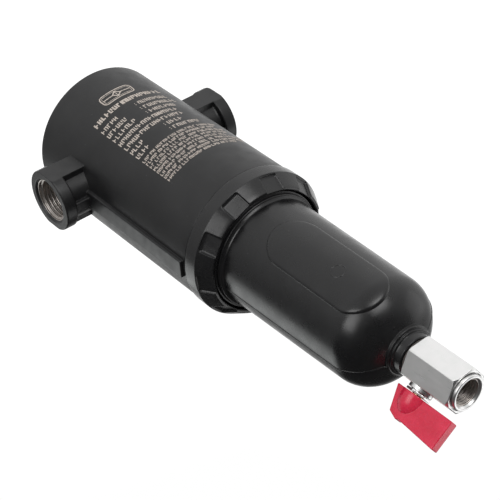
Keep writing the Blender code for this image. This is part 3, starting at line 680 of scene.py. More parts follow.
# ================================================================ head
def port_boss(side):
    """Return the flange, neck and ribs of one port, on the side given by +1 or -1."""
    root = HEAD_BORE + 2.0
    face = PORT_REACH
    back = PORT_REACH - PORT_FLANGE_THICKNESS
    profile = [(0.0, root), (PORT_NECK_RADIUS, root), (PORT_NECK_RADIUS, back - 1.2)]
    profile += [(PORT_NECK_RADIUS + 0.4, back - 0.4), (PORT_NECK_RADIUS + 1.2, back)]
    profile += arc((PORT_FLANGE_RADIUS - 0.7, back + 0.7), 0.7, -90.0, 0.0, 4)
    profile += arc((PORT_FLANGE_RADIUS - 0.8, face - 0.8), 0.8, 0.0, 90.0, 4)
    profile += [(0.0, face)]
    boss = turned("boss", list(reversed(profile)), MEDIUM, closed=False)
    bake(boss, toward(0.0 if side > 0 else 180.0))
    low, high = sorted((side * root, side * (face - 0.5)))
    wide = PORT_FLAT + 2.0
    ribs = block("ribs", (low, -wide, -PORT_RIB_HALF_WIDTH), (high, wide, PORT_RIB_HALF_WIDTH))
    combine(boss, soften(ribs, 0.5), "UNION")
    low, high = sorted((side * root, side * (back + 1.0)))
    thick = PORT_WEB_HALF_WIDTH
    webs = block("webs", (low, -thick, -PORT_WEB_REACH), (high, thick, PORT_WEB_REACH))
    combine(boss, soften(webs, 0.5), "UNION")
    low, high = sorted((side * (root - 1.0), side * (face + 1.0)))
    tall = PORT_FLANGE_RADIUS + 1.0
    flats = block("flats", (low, -PORT_FLAT, -tall), (high, PORT_FLAT, tall))
    return combine(boss, flats, "INTERSECT")


def port_bore(side):
    """Return the cutter for one port: countersunk mouth, thread relief and passage."""
    end = PORT_REACH + 1.0
    relief = PORT_THREAD_BORE + EMBED * 0.5
    inner = 0.0 if side > 0 else HEAD_BORE - 2.0
    profile = [
        (0.0, end), (relief + 2.1, end), (relief, PORT_REACH - 1.2),
        (relief, PORT_REACH - PORT_THREAD_DEPTH),
        (PORT_PASSAGE, PORT_REACH - PORT_THREAD_DEPTH - 1.2), (PORT_PASSAGE, inner), (0.0, inner),
    ]
    cutter = turned("bore", profile, MEDIUM, closed=False)
    return bake(cutter, toward(0.0 if side > 0 else 180.0))


def head_cavity():
    """Return the cutter for the inside of the head, with the outlet elbow left standing."""
    profile = [
        (0.0, HEAD_ROOF), (HEAD_BORE - 3.0, HEAD_ROOF), (HEAD_BORE, HEAD_ROOF - 3.0),
        (HEAD_BORE, SHOULDER_Z), (THREAD_BORE, SHOULDER_Z), (THREAD_BORE, HEAD_FOOT + 0.8),
        (THREAD_BORE + 1.4, HEAD_FOOT - 0.6), (0.0, HEAD_FOOT - 0.6),
    ]
    cavity = turned("cavity", profile, MEDIUM, closed=False)
    combine(cavity, rod("pillar", PILLAR_RADIUS, SPIGOT_FOOT, HEAD_ROOF + 5.0, SMALL), "DIFFERENCE")
    arm = bake(rod("arm", ARM_RADIUS, 0.0, HEAD_BORE + 4.0, SMALL), toward(0.0))
    return combine(cavity, arm, "DIFFERENCE")


def spigot_cutters():
    """Return the cutters for the spigot: its bore with the rod's socket, and the ring groove."""
    bore = turned("spigot_bore", [
        (0.0, ROD_HIGH.z + 2.0), (ROD_HOLE, ROD_HIGH.z + 2.0), (ROD_HOLE, ROD_SOCKET_FOOT),
        (SPIGOT_BORE, SPIGOT_BORE_TOP), (SPIGOT_BORE, SPIGOT_FOOT - 1.0), (0.0, SPIGOT_FOOT - 1.0),
    ], SMALL, closed=False)
    groove = tube("spigot_groove", PILLAR_RADIUS + 1.0, SPIGOT_GROOVE_RADIUS,
                  SPIGOT_GROOVE_FOOT, SPIGOT_GROOVE_TOP, SMALL)
    return [bore, groove]


def build_head(coat, thread_metal):
    """Build the head casting with its ports, side ribs, elbow and cut threads."""
    outside = [(0.0, HEAD_TOP), (8.0, HEAD_TOP), (20.0, HEAD_TOP)]
    outside += arc((HEAD_RADIUS - HEAD_EDGE, HEAD_TOP - HEAD_EDGE), HEAD_EDGE, 90.0, 0.0, 6)
    outside += stretch([(HEAD_RADIUS, HEAD_TOP - HEAD_EDGE), (HEAD_RADIUS, HEAD_FOOT + 0.5)], 4.0)[1:]
    outside += [(HEAD_RADIUS - 0.15, HEAD_FOOT + 0.15), (HEAD_RADIUS - 0.5, HEAD_FOOT), (0.0, HEAD_FOOT)]
    head = turned("head_shell", outside, ROUND, closed=False)
    for side in (-1, 1):
        low, high = sorted((side * HEAD_BORE, side * SIDE_RIB_REACH))
        wide = SIDE_RIB_HALF_WIDTH
        rib = block("side_rib", (low, -wide, SIDE_RIB_FOOT), (high, wide, 0.0))
        combine(head, soften(rib, 0.7), "UNION")
        combine(head, port_boss(side), "UNION")
    combine(head, head_cavity(), "DIFFERENCE")
    for cutter in spigot_cutters() + [port_bore(-1), port_bore(1)]:
        combine(head, cutter, "DIFFERENCE")
    dress(shade(head), coat, "head", "head_casting")
    for name, azimuth in (("inlet_thread", 180.0), ("outlet_thread", 0.0)):
        sleeve = thread_sleeve(
            name, PORT_THREAD_BORE - PORT_THREAD_HEIGHT, PORT_THREAD_BORE, PORT_THREAD_BORE + EMBED,
            PORT_REACH - PORT_THREAD_DEPTH, PORT_REACH - 0.9, PORT_PITCH,
        )
        dress(bake(sleeve, toward(azimuth)), thread_metal, "head", None)


# ================================================================ print on the head
class Print:
    """Thin raised ink on the round wall of the head, drawn in arc length and height."""

    def __init__(self):
        self.bm = bmesh.new()

    def patch(self, corners):
        """Add one small four-sided patch; its corners are (arc, height), in order."""
        layers = []
        for radius in (HEAD_RADIUS - 0.05, HEAD_RADIUS + PRINT_LIFT):
            layer = []
            for along, height in corners:
                layer.append(self.bm.verts.new(around(radius, along / HEAD_RADIUS, height)))
            layers.append(layer)
        inner, outer = layers
        self.bm.faces.new(outer)
        self.bm.faces.new(list(reversed(inner)))
        join_rows(self.bm, layers)

    def stroke(self, start, end, width):
        """Add a straight line as a run of short patches."""
        length = math.dist(start, end)
        count = max(1, math.ceil(length / 1.2))
        side = ((end[1] - start[1]) * -0.5 * width / length, (end[0] - start[0]) * 0.5 * width / length)
        points = evenly(start, end, count)
        for first, second in zip(points, points[1:]):
            self.patch([
                (first[0] - side[0], first[1] - side[1]), (second[0] - side[0], second[1] - side[1]),
                (second[0] + side[0], second[1] + side[1]), (first[0] + side[0], first[1] + side[1]),
            ])

    def word(self, along, height, tall, marks, draw, weight=0.2):
        """Add a row of short upright and level dashes that stands for a word; return where it ends."""
        wide = 0.56 * tall
        line = weight * tall
        for _ in range(marks):
            low = height - 0.5 * tall
            high = height + 0.5 * tall
            self.stroke((along + 0.5 * line, low), (along + 0.5 * line, high), line)
            level = draw.choice((low + 0.5 * line, height, high - 0.5 * line))
            self.stroke((along + line, level), (along + wide, level), line)
            if draw.random() < 0.6:
                foot = low + draw.choice((0.0, 0.4)) * tall
                self.stroke((along + wide, foot), (along + wide, high), line)
            along += wide + 0.26 * tall
        return along


def arc_length(azimuth):
    """Return the arc length on the head's wall for an azimuth in degrees."""
    return math.radians(azimuth) * HEAD_RADIUS


def build_sign(sheet):
    """Draw the standard symbol of a filter with a drain inside a plain round-ended frame."""
    middle = arc_length(SIGN_CENTRE[0])
    height = SIGN_CENTRE[1]
    wide, tall = SIGN_HALF
    corner = 2.0
    for inset, line in ((0.0, SIGN_LINE), (1.0, 0.4 * SIGN_LINE)):
        frame_line = []
        for x, y, start in ((1, 1, 0.0), (-1, 1, 90.0), (-1, -1, 180.0), (1, -1, 270.0)):
            centre = (middle + x * (wide - corner), height + y * (tall - corner))
            frame_line += arc(centre, corner - inset, start, start + 90.0, 4)
        for first, second in zip(frame_line, frame_line[1:] + frame_line[:1]):
            sheet.stroke(first, second, line)
    reach = tall - 1.3
    tips = [(middle + reach * x, height + reach * y) for x, y in ((1, 0), (0, 1), (-1, 0), (0, -1))]
    for first, second in zip(tips, tips[1:] + tips[:1]):
        sheet.stroke(first, second, SIGN_LINE)
    for side in (-1, 1):
        sheet.stroke((middle + side * reach, height), (middle + side * (wide - 1.0), height), SIGN_LINE)
    for step in (-0.6, 0.0, 0.6):
        low = height + (step - 0.18) * reach
        sheet.stroke((middle, low), (middle, low + 0.36 * reach), SIGN_LINE)


def build_print(material):
    """Print the panel: symbol, title, fields with values, and a block of small notes."""
    draw = random.Random(SEED)
    sheet = Print()
    build_sign(sheet)
    height, tall, words = TITLE_ROW
    for azimuth, marks in words:
        sheet.word(arc_length(azimuth), height, tall, marks, draw, TITLE_WEIGHT)
    for height, tall, label, value in FIELD_ROWS:
        sheet.word(arc_length(ROW_START), height, tall, label, draw)
        start = arc_length(VALUE_START)
        for level in (-0.25, 0.25):
            sheet.stroke((start - 0.2, height + level * tall), (start + 0.25, height + level * tall), 0.4)
        sheet.word(start + 1.6, height, tall, value, draw)
    for row in range(NOTE_ROWS):
        along = arc_length(ROW_START)
        height = NOTE_TOP - row * NOTE_PITCH
        while along < arc_length(NOTE_END):
            along = sheet.word(along, height, NOTE_HEIGHT, draw.randint(2, 8), draw) + 0.8
    panel = finish_mesh("printed_panel", sheet.bm)
    dress(panel, material, "head", None)


# ================================================================ clamp ring
def ring_pocket(angle):
    """Return the cutter of one grip pocket, open towards the bowl."""
    foot = RING_LOW.z
    slope = (RING_RADIUS - RING_FOOT_RADIUS) / (RING_BAND_FOOT - foot)
    floor_top = RING_RADIUS - POCKET_DEPTH
    run = POCKET_TOP - (foot - 1.0)
    outline = [
        (floor_top, POCKET_TOP), (RING_RADIUS + 2.0, POCKET_TOP),
        (RING_RADIUS + 2.0, POCKET_TOP - run), (floor_top - slope * run, POCKET_TOP - run),
    ]
    pocket = soften(prism("pocket", outline, -0.5 * POCKET_WIDTH, 0.5 * POCKET_WIDTH), 0.9, 4)
    upright = Matrix.Rotation(math.radians(90.0), 4, "X")
    return bake(pocket, Matrix.Rotation(math.radians(angle), 4, "Z") @ upright)


def build_ring(coat):
    """Build the clamp ring with its band, cone, pockets and thread."""
    top = RING_HIGH.z
    foot = RING_LOW.z
    band_top = HEAD_FOOT - 0.4
    neck = RING_THREAD_RADIUS - RING_THREAD_HEIGHT
    profile = [(RING_BORE, top), (neck, top), (neck, band_top)]
    profile += arc((RING_RADIUS - 0.5, band_top - 0.5), 0.5, 90.0, 0.0, 3)
    profile += stretch([(RING_RADIUS, band_top - 0.5), (RING_RADIUS, RING_BAND_FOOT)], 2.5)[1:]
    profile += stretch([(RING_RADIUS, RING_BAND_FOOT), (RING_FOOT_RADIUS + 0.1, foot + 0.3)], 1.8)[1:]
    profile += [(RING_FOOT_RADIUS - 0.2, foot), (RING_BORE + 0.7, foot), (RING_BORE + 0.2, foot + 0.3)]
    profile += [(RING_BORE, foot + 1.0)]
    ring = turned("ring_shell", profile, ROUND * 3 // 2)
    for index in range(POCKET_COUNT):
        combine(ring, ring_pocket(POCKET_PHASE + 360.0 * index / POCKET_COUNT), "DIFFERENCE")
    dress(shade(ring, 24.0), coat, "clamp_ring", "clamp_ring")
    thread = thread_sleeve("ring_thread", RING_THREAD_RADIUS, neck, neck - EMBED,
                           band_top + 1.2, top - 0.2, RING_PITCH, ROUND, 14)
    dress(thread, coat, "clamp_ring", None)


# ================================================================ bowl
def dome_curve(radius, top, foot, end_radius, steps):
    """Return a rounded bowl end, from the straight wall down to a given radius."""
    turn = math.degrees(math.acos(end_radius / radius))
    depth = (top - foot) / math.sin(math.radians(turn))
    angles = [math.radians(turn * step / steps) for step in range(1, steps + 1)]
    return [(radius * math.cos(a), top - depth * math.sin(a)) for a in angles]


def bowl_profile():
    """Return the closed section of the bowl, outside first and then up the inside."""
    flange_top = SHOULDER_Z - 0.4
    outside = [
        (BOWL_INSIDE_TOP, BOWL_TOP), (BOWL_SPIGOT_RADIUS - 0.6, BOWL_TOP),
        (BOWL_SPIGOT_RADIUS, BOWL_TOP - 0.8), (BOWL_SPIGOT_RADIUS, BOWL_GROOVE_TOP), (BOWL_GROOVE_RADIUS, BOWL_GROOVE_TOP),
        (BOWL_GROOVE_RADIUS, BOWL_GROOVE_FOOT), (BOWL_SPIGOT_RADIUS, BOWL_GROOVE_FOOT),
        (BOWL_SPIGOT_RADIUS, flange_top), (BOWL_FLANGE_RADIUS, flange_top),
        (BOWL_FLANGE_RADIUS, BOWL_FLANGE_FOOT), (BOWL_COLLAR_RADIUS, BOWL_FLANGE_FOOT),
        (BOWL_COLLAR_RADIUS, BOWL_COLLAR_FOOT + 0.3), (BOWL_COLLAR_RADIUS - 0.3, BOWL_COLLAR_FOOT),
        (BOWL_RIDGE_RADIUS + 0.15, BOWL_COLLAR_FOOT), (BOWL_RIDGE_RADIUS, BOWL_COLLAR_FOOT - 0.15),
        (BOWL_RIDGE_RADIUS, BOWL_RIDGE_FOOT + 0.3), (BOWL_RIDGE_RADIUS - 0.3, BOWL_RIDGE_FOOT),
        (WALL_TOP_RADIUS + 0.9, BOWL_RIDGE_FOOT),
    ]
    outside += arc((WALL_TOP_RADIUS + 1.4, BOWL_NECK_TOP + 0.9), 1.4, 130.0, 180.0, 5)
    outside += stretch([(WALL_TOP_RADIUS, BOWL_NECK_TOP), (WALL_FOOT_RADIUS, DOME_TOP)], 3.0)
    outside += dome_curve(WALL_FOOT_RADIUS, DOME_TOP, DOME_FOOT, BOSS_RING_RADIUS, 44)
    outside += [(BOSS_RING_RADIUS, BOSS_RING_FOOT + 0.3), (BOSS_RING_RADIUS - 0.3, BOSS_RING_FOOT)]
    outside += [(BOSS_STEP_RADIUS + 0.1, BOSS_RING_FOOT), (BOSS_STEP_RADIUS, BOSS_RING_FOOT - 0.1)]
    outside += [(BOSS_STEP_RADIUS, BOSS_STEP_FOOT + 0.25), (BOSS_STEP_RADIUS - 0.25, BOSS_STEP_FOOT)]
    outside += [(BOSS_RADIUS + 0.3, BOSS_STEP_FOOT - 0.1), (BOSS_RADIUS, BOSS_STEP_FOOT - 0.5)]
    outside += [(BOSS_RADIUS, BOSS_FOOT + 0.4), (BOSS_RADIUS - 0.4, BOSS_FOOT)]
    inside = [(BOSS_BORE, BOSS_FOOT), (BOSS_BORE, BOSS_BORE_TOP), (DRAIN_HOLE, BOSS_BORE_TOP)]
    inner_dome = dome_curve(BOWL_INSIDE_FOOT, DOME_TOP, DOME_INSIDE_FOOT, DRAIN_HOLE, 20)
    inside += list(reversed(inner_dome)) + [(BOWL_INSIDE_FOOT, DOME_TOP)]
    return outside, inside


def wall_radius(height):
    """Return the radius of the bowl's straight, slightly tapered wall."""
    share = (BOWL_NECK_TOP - height) / (BOWL_NECK_TOP - DOME_TOP)
    return WALL_TOP_RADIUS + (WALL_FOOT_RADIUS - WALL_TOP_RADIUS) * min(1.0, share)


def dome_radius(radius, foot, height):
    """Return the radius at a height of a wall and dome that start from this radius."""
    turn = math.acos(BOSS_RING_RADIUS / radius)
    depth = (DOME_TOP - foot) / math.sin(turn)
    return radius * math.sqrt(1.0 - min(1.0, (DOME_TOP - height) / depth) ** 2)


def pad_point(along, height, lift):
    """Return a point on the bowl's outside in metres: lift 0 is the bowl and lift 1 the raised pad."""
    if height > DOME_TOP:
        bare = wall_radius(height)
        raised = bare + PAD_RISE
    else:
        bare = dome_radius(WALL_FOOT_RADIUS, DOME_FOOT, height)
        raised = dome_radius(WALL_FOOT_RADIUS + PAD_RISE, DOME_FOOT - PAD_FOOT_RISE, height)
    radius = bare + (raised - bare) * lift
    angle = math.radians(PAD_AZIMUTH) + math.asin(along / radius)
    return around(radius, angle, height)


def oval(half, top, foot, steps):
    """Return a round-ended outline, as (along, height), between the centres of its two ends."""
    ends = ((top, 0.0), (foot, 180.0))
    points = []
    for index, (centre, start) in enumerate(ends):
        points += arc((0.0, centre), half, start, start + 180.0, steps)
        other = ends[1 - index][0]
        side = half if index else -half
        count = math.ceil(abs(top - foot) / 0.6)
        points += [(side, centre + (other - centre) * i / count) for i in range(1, count)]
    return points


def pad_sheet(name, rings, closed):
    """Lay rings of (outline, lift) over the bowl's outside and join each one to the next."""
    bm = bmesh.new()
    rows = [[bm.verts.new(pad_point(x, z, lift)) for x, z in outline] for outline, lift in rings]
    join_rows(bm, rows)
    if closed:
        bm.faces.new(rows[-1])
    return shade(finish_mesh(name, bm), 70.0)


def build_pad(coat):
    """Build the raised oval pad with its rounded edge, and the round mark on it."""
    half = 0.5 * PAD_WIDTH
    top = PAD_TOP - half
    foot = PAD_FOOT + half
    section = list(PAD_SECTION)
    section += [(1.2 + step * (half - 1.4) / 20.0, 1.0) for step in range(1, 21)]
    rings = [(oval(half - inset, top, foot, 40), lift) for inset, lift in section]
    pad = pad_sheet("raised_pad", rings, True)
    dress(pad, coat, "bowl", None)
    rings = [(arc((0.0, MARK_Z), MARK_RADIUS + inset, 0.0, 352.5, 47), lift) for inset, lift in MARK_SECTION]
    mark = pad_sheet("pad_mark", rings, False)
    dress(mark, coat, "bowl", None)


def parting_strip(azimuth, outside):
    """Return the fine ridge that the mould's joint leaves along the bowl."""
    start = next(i for i, point in enumerate(outside) if point[1] <= BOWL_NECK_TOP)
    path = [point for point in outside[start:] if point[0] >= BOSS_RING_RADIUS]
    bm = bmesh.new()
    rows = []
    for radius, height in path:
        corners = [
            (radius - 0.2, -PARTING_HALF_WIDTH), (radius + 0.02, -PARTING_HALF_WIDTH),
            (radius + PARTING_RISE, 0.0),
            (radius + 0.02, PARTING_HALF_WIDTH), (radius - 0.2, PARTING_HALF_WIDTH),
        ]
        rows.append([bm.verts.new((x, y, height)) for x, y in corners])
    join_rows(bm, rows)
    bm.faces.new(rows[0])
    bm.faces.new(list(reversed(rows[-1])))
    strip = finish_mesh("parting_line", bm)
    return bake(strip, Matrix.Rotation(math.radians(azimuth), 4, "Z"))


def build_bowl(coat):
    """Build the bowl with its pad and parting lines."""
    outside, inside = bowl_profile()
    bowl = turned("bowl_shell", outside + inside, ROUND)
    dress(shade(bowl, 40.0), coat, "bowl", "bowl")
    build_pad(coat)
    for index, azimuth in enumerate(PARTING_AZIMUTHS):
        strip = parting_strip(azimuth, outside)
        strip.name = f"parting_line_{index}"
        dress(shade(strip, 80.0), coat, "bowl", None)


# ================================================================ drain valve
def build_valve_body(plating):
    """Build the hexagon body: chamfered ends, gland boss, male thread, chamber and passages."""
    body = prism("valve_hexagon", polygon(6, HEX_ACROSS_FLATS, STEM_AZIMUTH), HEX_FOOT, HEX_TOP)
    soften(body, HEX_EDGE, 3)
    corner = HEX_ACROSS_FLATS
    over = 1.0
    envelope = turned("envelope", [
        (0.0, HEX_TOP + over), (HEX_CHAMFER_RADIUS - over / HEX_TOP_SLOPE, HEX_TOP + over),
        (corner, HEX_TOP - (corner - HEX_CHAMFER_RADIUS) * HEX_TOP_SLOPE),
        (corner, HEX_FOOT + (corner - HEX_CHAMFER_RADIUS) * HEX_FOOT_SLOPE),
        (HEX_CHAMFER_RADIUS - over / HEX_FOOT_SLOPE, HEX_FOOT - over), (0.0, HEX_FOOT - over),
    ], ROUND, closed=False)
    combine(body, envelope, "INTERSECT")
    stud = rod("stud", MALE_THREAD_RADIUS - 0.6, HEX_TOP - 2.0, MALE_THREAD_TOP, SMALL)
    combine(body, stud, "UNION")
    boss = soften(rod("gland_boss", GLAND_BOSS_RADIUS, 6.0, GLAND_BOSS_TOP, SMALL), 0.3)
    combine(body, bake(boss, stem_frame()), "UNION")
    combine(body, turned("chamber", [
        (0.0, MALE_THREAD_TOP + 1.0), (VALVE_PASSAGE, MALE_THREAD_TOP + 1.0),
        (VALVE_PASSAGE, BALL_Z + CHAMBER_TOP), (VALVE_CHAMBER, BALL_Z + CHAMBER_TOP),
        (VALVE_CHAMBER, COUNTERBORE_TOP), (COUNTERBORE_RADIUS, COUNTERBORE_TOP),
        (COUNTERBORE_RADIUS, HEX_FOOT - 0.5), (0.0, HEX_FOOT - 0.5),
    ], MEDIUM, closed=False), "DIFFERENCE")
    combine(body, bake(turned("stem_bore", [
        (0.0, GLAND_BOSS_TOP + 1.0), (GLAND_CHAMBER_RADIUS, GLAND_BOSS_TOP + 1.0),
        (GLAND_CHAMBER_RADIUS, GLAND_CHAMBER_FOOT), (STEM_HOLE, GLAND_CHAMBER_FOOT),
        (STEM_HOLE, 3.0), (0.0, 3.0),
    ], SMALL, closed=False), stem_frame()), "DIFFERENCE")
    dress(shade(body), plating, "bowl", "valve_body")
    crest = MALE_THREAD_RADIUS
    thread = thread_sleeve("valve_male_thread", crest, crest - 0.6, crest - 0.9,
                           HEX_TOP + 0.3, MALE_THREAD_TOP - 0.2, INSERT_PITCH, SMALL)
    dress(thread, plating, "bowl", None)


def build_insert(plating, thread_metal):
    """Build the end insert with its rounded rim, dark gap and outlet thread."""
    top = INSERT_HIGH.z
    foot = INSERT_LOW.z
    profile = [(VALVE_PASSAGE, top), (INSERT_THREAD_RADIUS, top), (INSERT_THREAD_RADIUS, INSERT_RIM_TOP)]
    profile += arc((INSERT_RIM_RADIUS - 0.3, INSERT_RIM_TOP - 0.3), 0.3, 90.0, 0.0, 3)
    profile += arc((INSERT_RIM_RADIUS - 0.55, foot + 0.55), 0.55, 0.0, -90.0, 5)
    profile += arc((INSERT_THREAD_BORE + 1.25, foot + 0.45), 0.45, -90.0, -140.0, 3)
    profile += [(INSERT_THREAD_BORE + 0.15, foot + 1.3), (INSERT_THREAD_BORE + 0.15, top - 1.4)]
    profile += [(VALVE_PASSAGE, top - 1.0)]
    insert = turned("outlet_insert", profile, MEDIUM)
    dress(shade(insert), plating, "bowl", "valve_end_insert")
    sleeve = thread_sleeve("outlet_insert_thread", INSERT_THREAD_BORE - 0.55, INSERT_THREAD_BORE,
                           INSERT_THREAD_BORE + EMBED, foot + 1.0, top - 1.8, INSERT_PITCH, 96)
    dress(sleeve, thread_metal, "bowl", None)


def build_valve_small_parts(plating, white, brass):
    """Build the gland nut, stem seal, seats, ball and stem."""
    nut = prism("gland_hexagon", polygon(6, GLAND_HEAD_ACROSS_FLATS), GLAND_HEAD_FOOT, GLAND_HEAD_TOP)
    soften(nut, 0.2, 2)
    combine(nut, rod("plug", GLAND_PLUG_RADIUS, GLAND_PLUG_FOOT, GLAND_HEAD_FOOT + 0.5, SMALL), "UNION")
    combine(nut, rod("hole", STEM_HOLE, GLAND_PLUG_FOOT - 1.0, GLAND_HEAD_TOP + 1.0, SMALL), "DIFFERENCE")
    dress(shade(bake(nut, stem_frame())), plating, "bowl", "gland_nut")
    seal = tube("packing", GLAND_PLUG_RADIUS, STEM_HOLE, SEAL_FOOT, SEAL_TOP, SMALL, 0.1)
    dress(shade(bake(seal, stem_frame())), white, "bowl", "stem_seal")
    for node in ("ball_seat_upper", "ball_seat_lower"):
        low, high = span(node)
        seat = tube(node.replace("ball_", "soft_"), high.x, SEAT_BORE, low.z, high.z, SMALL, 0.25)
        dress(shade(seat), white, "bowl", node)
    ball = turned("bored_ball", [
        (abs(r), z) for r, z in arc((0.0, 0.0), BALL_RADIUS, 90.0, -90.0, 40)
    ], SMALL, closed=False)
    combine(ball, rod("ball_bore", BALL_BORE, -BALL_RADIUS - 1.0, BALL_RADIUS + 1.0, SMALL), "DIFFERENCE")
    past = BALL_RADIUS + 1.0
    slot = block("slot", (-past, -BALL_SLOT_HALF, BALL_SLOT_FLOOR), (past, BALL_SLOT_HALF, past))
    combine(ball, bake(slot, toward(STEM_AZIMUTH)), "DIFFERENCE")
    bake(ball, Matrix.Translation((0.0, 0.0, BALL_Z)))
    dress(shade(ball), plating, "drain_handle", "valve_ball")
    stem = turned("turned_stem", [
        (0.0, STEM_TOP), (STEM_RADIUS - 0.4, STEM_TOP), (STEM_RADIUS, STEM_TOP - 0.4),
        (STEM_RADIUS, STEM_SHOULDER), (STEM_RADIUS - 0.3, STEM_NECK), (0.0, STEM_NECK),
    ], SMALL, closed=False)
    wide, thick = TANG_HALF
    tang = block("tang", (-wide, -thick, STEM_FOOT), (wide, thick, TANG_TOP))
    combine(stem, tang, "UNION")
    dress(shade(bake(stem, stem_frame())), brass, "drain_handle", "valve_stem")


def build_handle(red):
    """Build the wing handle: a tapered blade with a lug behind it and a bullet-shaped hub."""
    upright = Matrix.Rotation(math.radians(90.0), 4, "X")
    blade = prism("wing_handle", [
        (WING_BACK, WING_FOOT), (WING_TIP, WING_FOOT), (WING_TIP, WING_CREST_TIP),
        (WING_CREST_X, WING_CREST), (WING_LUG_X, WING_LUG), (WING_CREST_BACK_X, WING_CREST_BACK),
    ], -WING_HALF_THICKNESS, WING_HALF_THICKNESS)
    bake(soften(blade, WING_EDGE, 4), upright)
    steepness = (HUB_CREST - HUB_SHOULDER) / HUB_RADIUS
    hub_profile = [(x, HUB_SHOULDER + y * steepness) for x, y in arc((0.0, 0.0), HUB_RADIUS, 90.0, 0.0, 24)]
    hub_profile[0] = (0.0, HUB_CREST)
    hub_profile += [(HUB_RADIUS, WING_FOOT + 0.2), (HUB_RADIUS - 0.2, WING_FOOT), (0.0, WING_FOOT)]
    combine(blade, turned("hub", hub_profile, MEDIUM, closed=False), "UNION")
    combine(blade, rod("socket", STEM_HOLE, WING_FOOT - 2.0, STEM_TOP + 0.4, SMALL), "DIFFERENCE")
    bake(blade, stem_frame())
    dress(shade(blade), red, "drain_handle", "valve_handle")


# ================================================================ element
def element_cap(name, profile, steel, node):
    """Build a pressed steel cap from its section."""
    return dress(shade(turned(name, profile, MEDIUM)), steel, "head", node)


def windowed_tube(name, radius, low, high, windows):
    """Build a thin tube with a grid of windows, two parts in three open."""
    per_window = 9
    columns = per_window * windows
    levels = 2 * SCREEN_ROWS + 1
    step = (high - low) / levels
    bm = bmesh.new()
    grid = []
    for level in range(levels + 1):
        height = low + level * step
        grid.append([bm.verts.new(around(radius, FULL_TURN * c / columns, height)) for c in range(columns)])
    for level in range(levels):
        for column in range(columns):
            if level % 2 == 1 and column % per_window >= per_window // 3:
                continue
            following = (column + 1) % columns
            bm.faces.new((grid[level][column], grid[level][following],
                          grid[level + 1][following], grid[level + 1][column]))
    item = finish_mesh(name, bm)
    shell = item.modifiers.new("wall", "SOLIDIFY")
    shell.thickness = SCREEN_THICKNESS * MM
    shell.offset = -1.0
    return shade(settle(item))


def knitted_rows(name, low, high):
    """Lay interlocked loops of round wire on the pad, row over row."""
    curve = bpy.data.curves.new(name, "CURVE")
    curve.dimensions = "3D"
    curve.bevel_depth = KNIT_WIRE * MM
    curve.bevel_resolution = 1
    pitch = (high - low - 2.4) / KNIT_ROWS
    for row in range(KNIT_ROWS):
        middle = low + 1.2 + pitch * (row + 0.5)
        count = KNIT_LOOPS * KNIT_STEPS
        spline = curve.splines.new("POLY")
        spline.points.add(count - 1)
        spline.use_cyclic_u = True
        for index in range(count):
            turn = index / count
            wave = FULL_TURN * (KNIT_LOOPS * turn + 0.5 * (row % 2))
            angle = FULL_TURN * turn + KNIT_SWAY * math.sin(2.0 * wave) / KNIT_LOOPS
            height = middle + KNIT_RISE * pitch * math.sin(wave)
            radius = KNIT_RADIUS - KNIT_DEPTH * math.cos(2.0 * wave)
            point = Vector(around(radius, angle, height)) * MM
            spline.points[index].co = (*point, 1.0)
    knit = bpy.data.objects.new(name, curve)
    bpy.context.scene.collection.objects.link(knit)
    return knit


def rubber_ring(name, middle, height, section, steps):
    """Make a ring of round section about the Z axis."""
    profile = [(middle + r, height + z) for r, z in arc((0, 0), section, *RING_ARC)]
    return shade(turned(name, profile, steps), 60.0)


def build_element(steel, wire, rubber):
    """Build the mesh element: caps, cage, knitted pad and core."""
    edge = CAP_HIGH.x
    inner = edge - CAP_WALL
    top = CAP_LOW.z + 6.6
    cap = [(COLLAR_BORE, CAP_HIGH.z), (COLLAR_RADIUS - 0.3, CAP_HIGH.z)]
    cap += [(COLLAR_RADIUS, CAP_HIGH.z - 0.3), (COLLAR_RADIUS, top)]
    cap += arc((edge - CAP_CORNER, top - CAP_CORNER), CAP_CORNER, 90.0, 0.0, 4)
    cap += [(edge, CAP_LOW.z), (inner, CAP_LOW.z), (inner, top - 1.6), (COLLAR_BORE, top - 1.6)]
    element_cap("pressed_top_cap", cap, steel, "element_top_cap")
    foot = FOOT_CAP_LOW.z
    cup = [(ROD_HOLE, foot + 1.6), (inner, foot + 1.6), (inner, FOOT_CAP_HIGH.z), (edge, FOOT_CAP_HIGH.z)]
    cup += arc((edge - CAP_CORNER, foot + CAP_CORNER), CAP_CORNER, 0.0, -90.0, 4) + [(ROD_HOLE, foot)]
    element_cap("pressed_bottom_cap", cup, steel, "element_bottom_cap")
    low, high = span("element_outer_screen")
    cage = windowed_tube("element_cage", SCREEN_RADIUS, low.z, high.z, SCREEN_WINDOWS)
    dress(cage, steel, "head", "element_outer_screen")
    core = windowed_tube("element_core", CORE_RADIUS, low.z, high.z, CORE_WINDOWS)
    dress(core, steel, "head", "element_inner_tube")
    fill = tube("pad_fill", CORE_FILL_RADIUS, MESH_INNER, low.z, high.z, MEDIUM)
    dress(shade(fill), wire, "head", "element_mesh_pad")
    knit = knitted_rows("pad_knit", low.z, high.z)
    dress(knit, wire, "head", None)
    dress(rubber_ring("spigot_ring", *ELEMENT_RING, MEDIUM), rubber, "head", "element_o_ring")


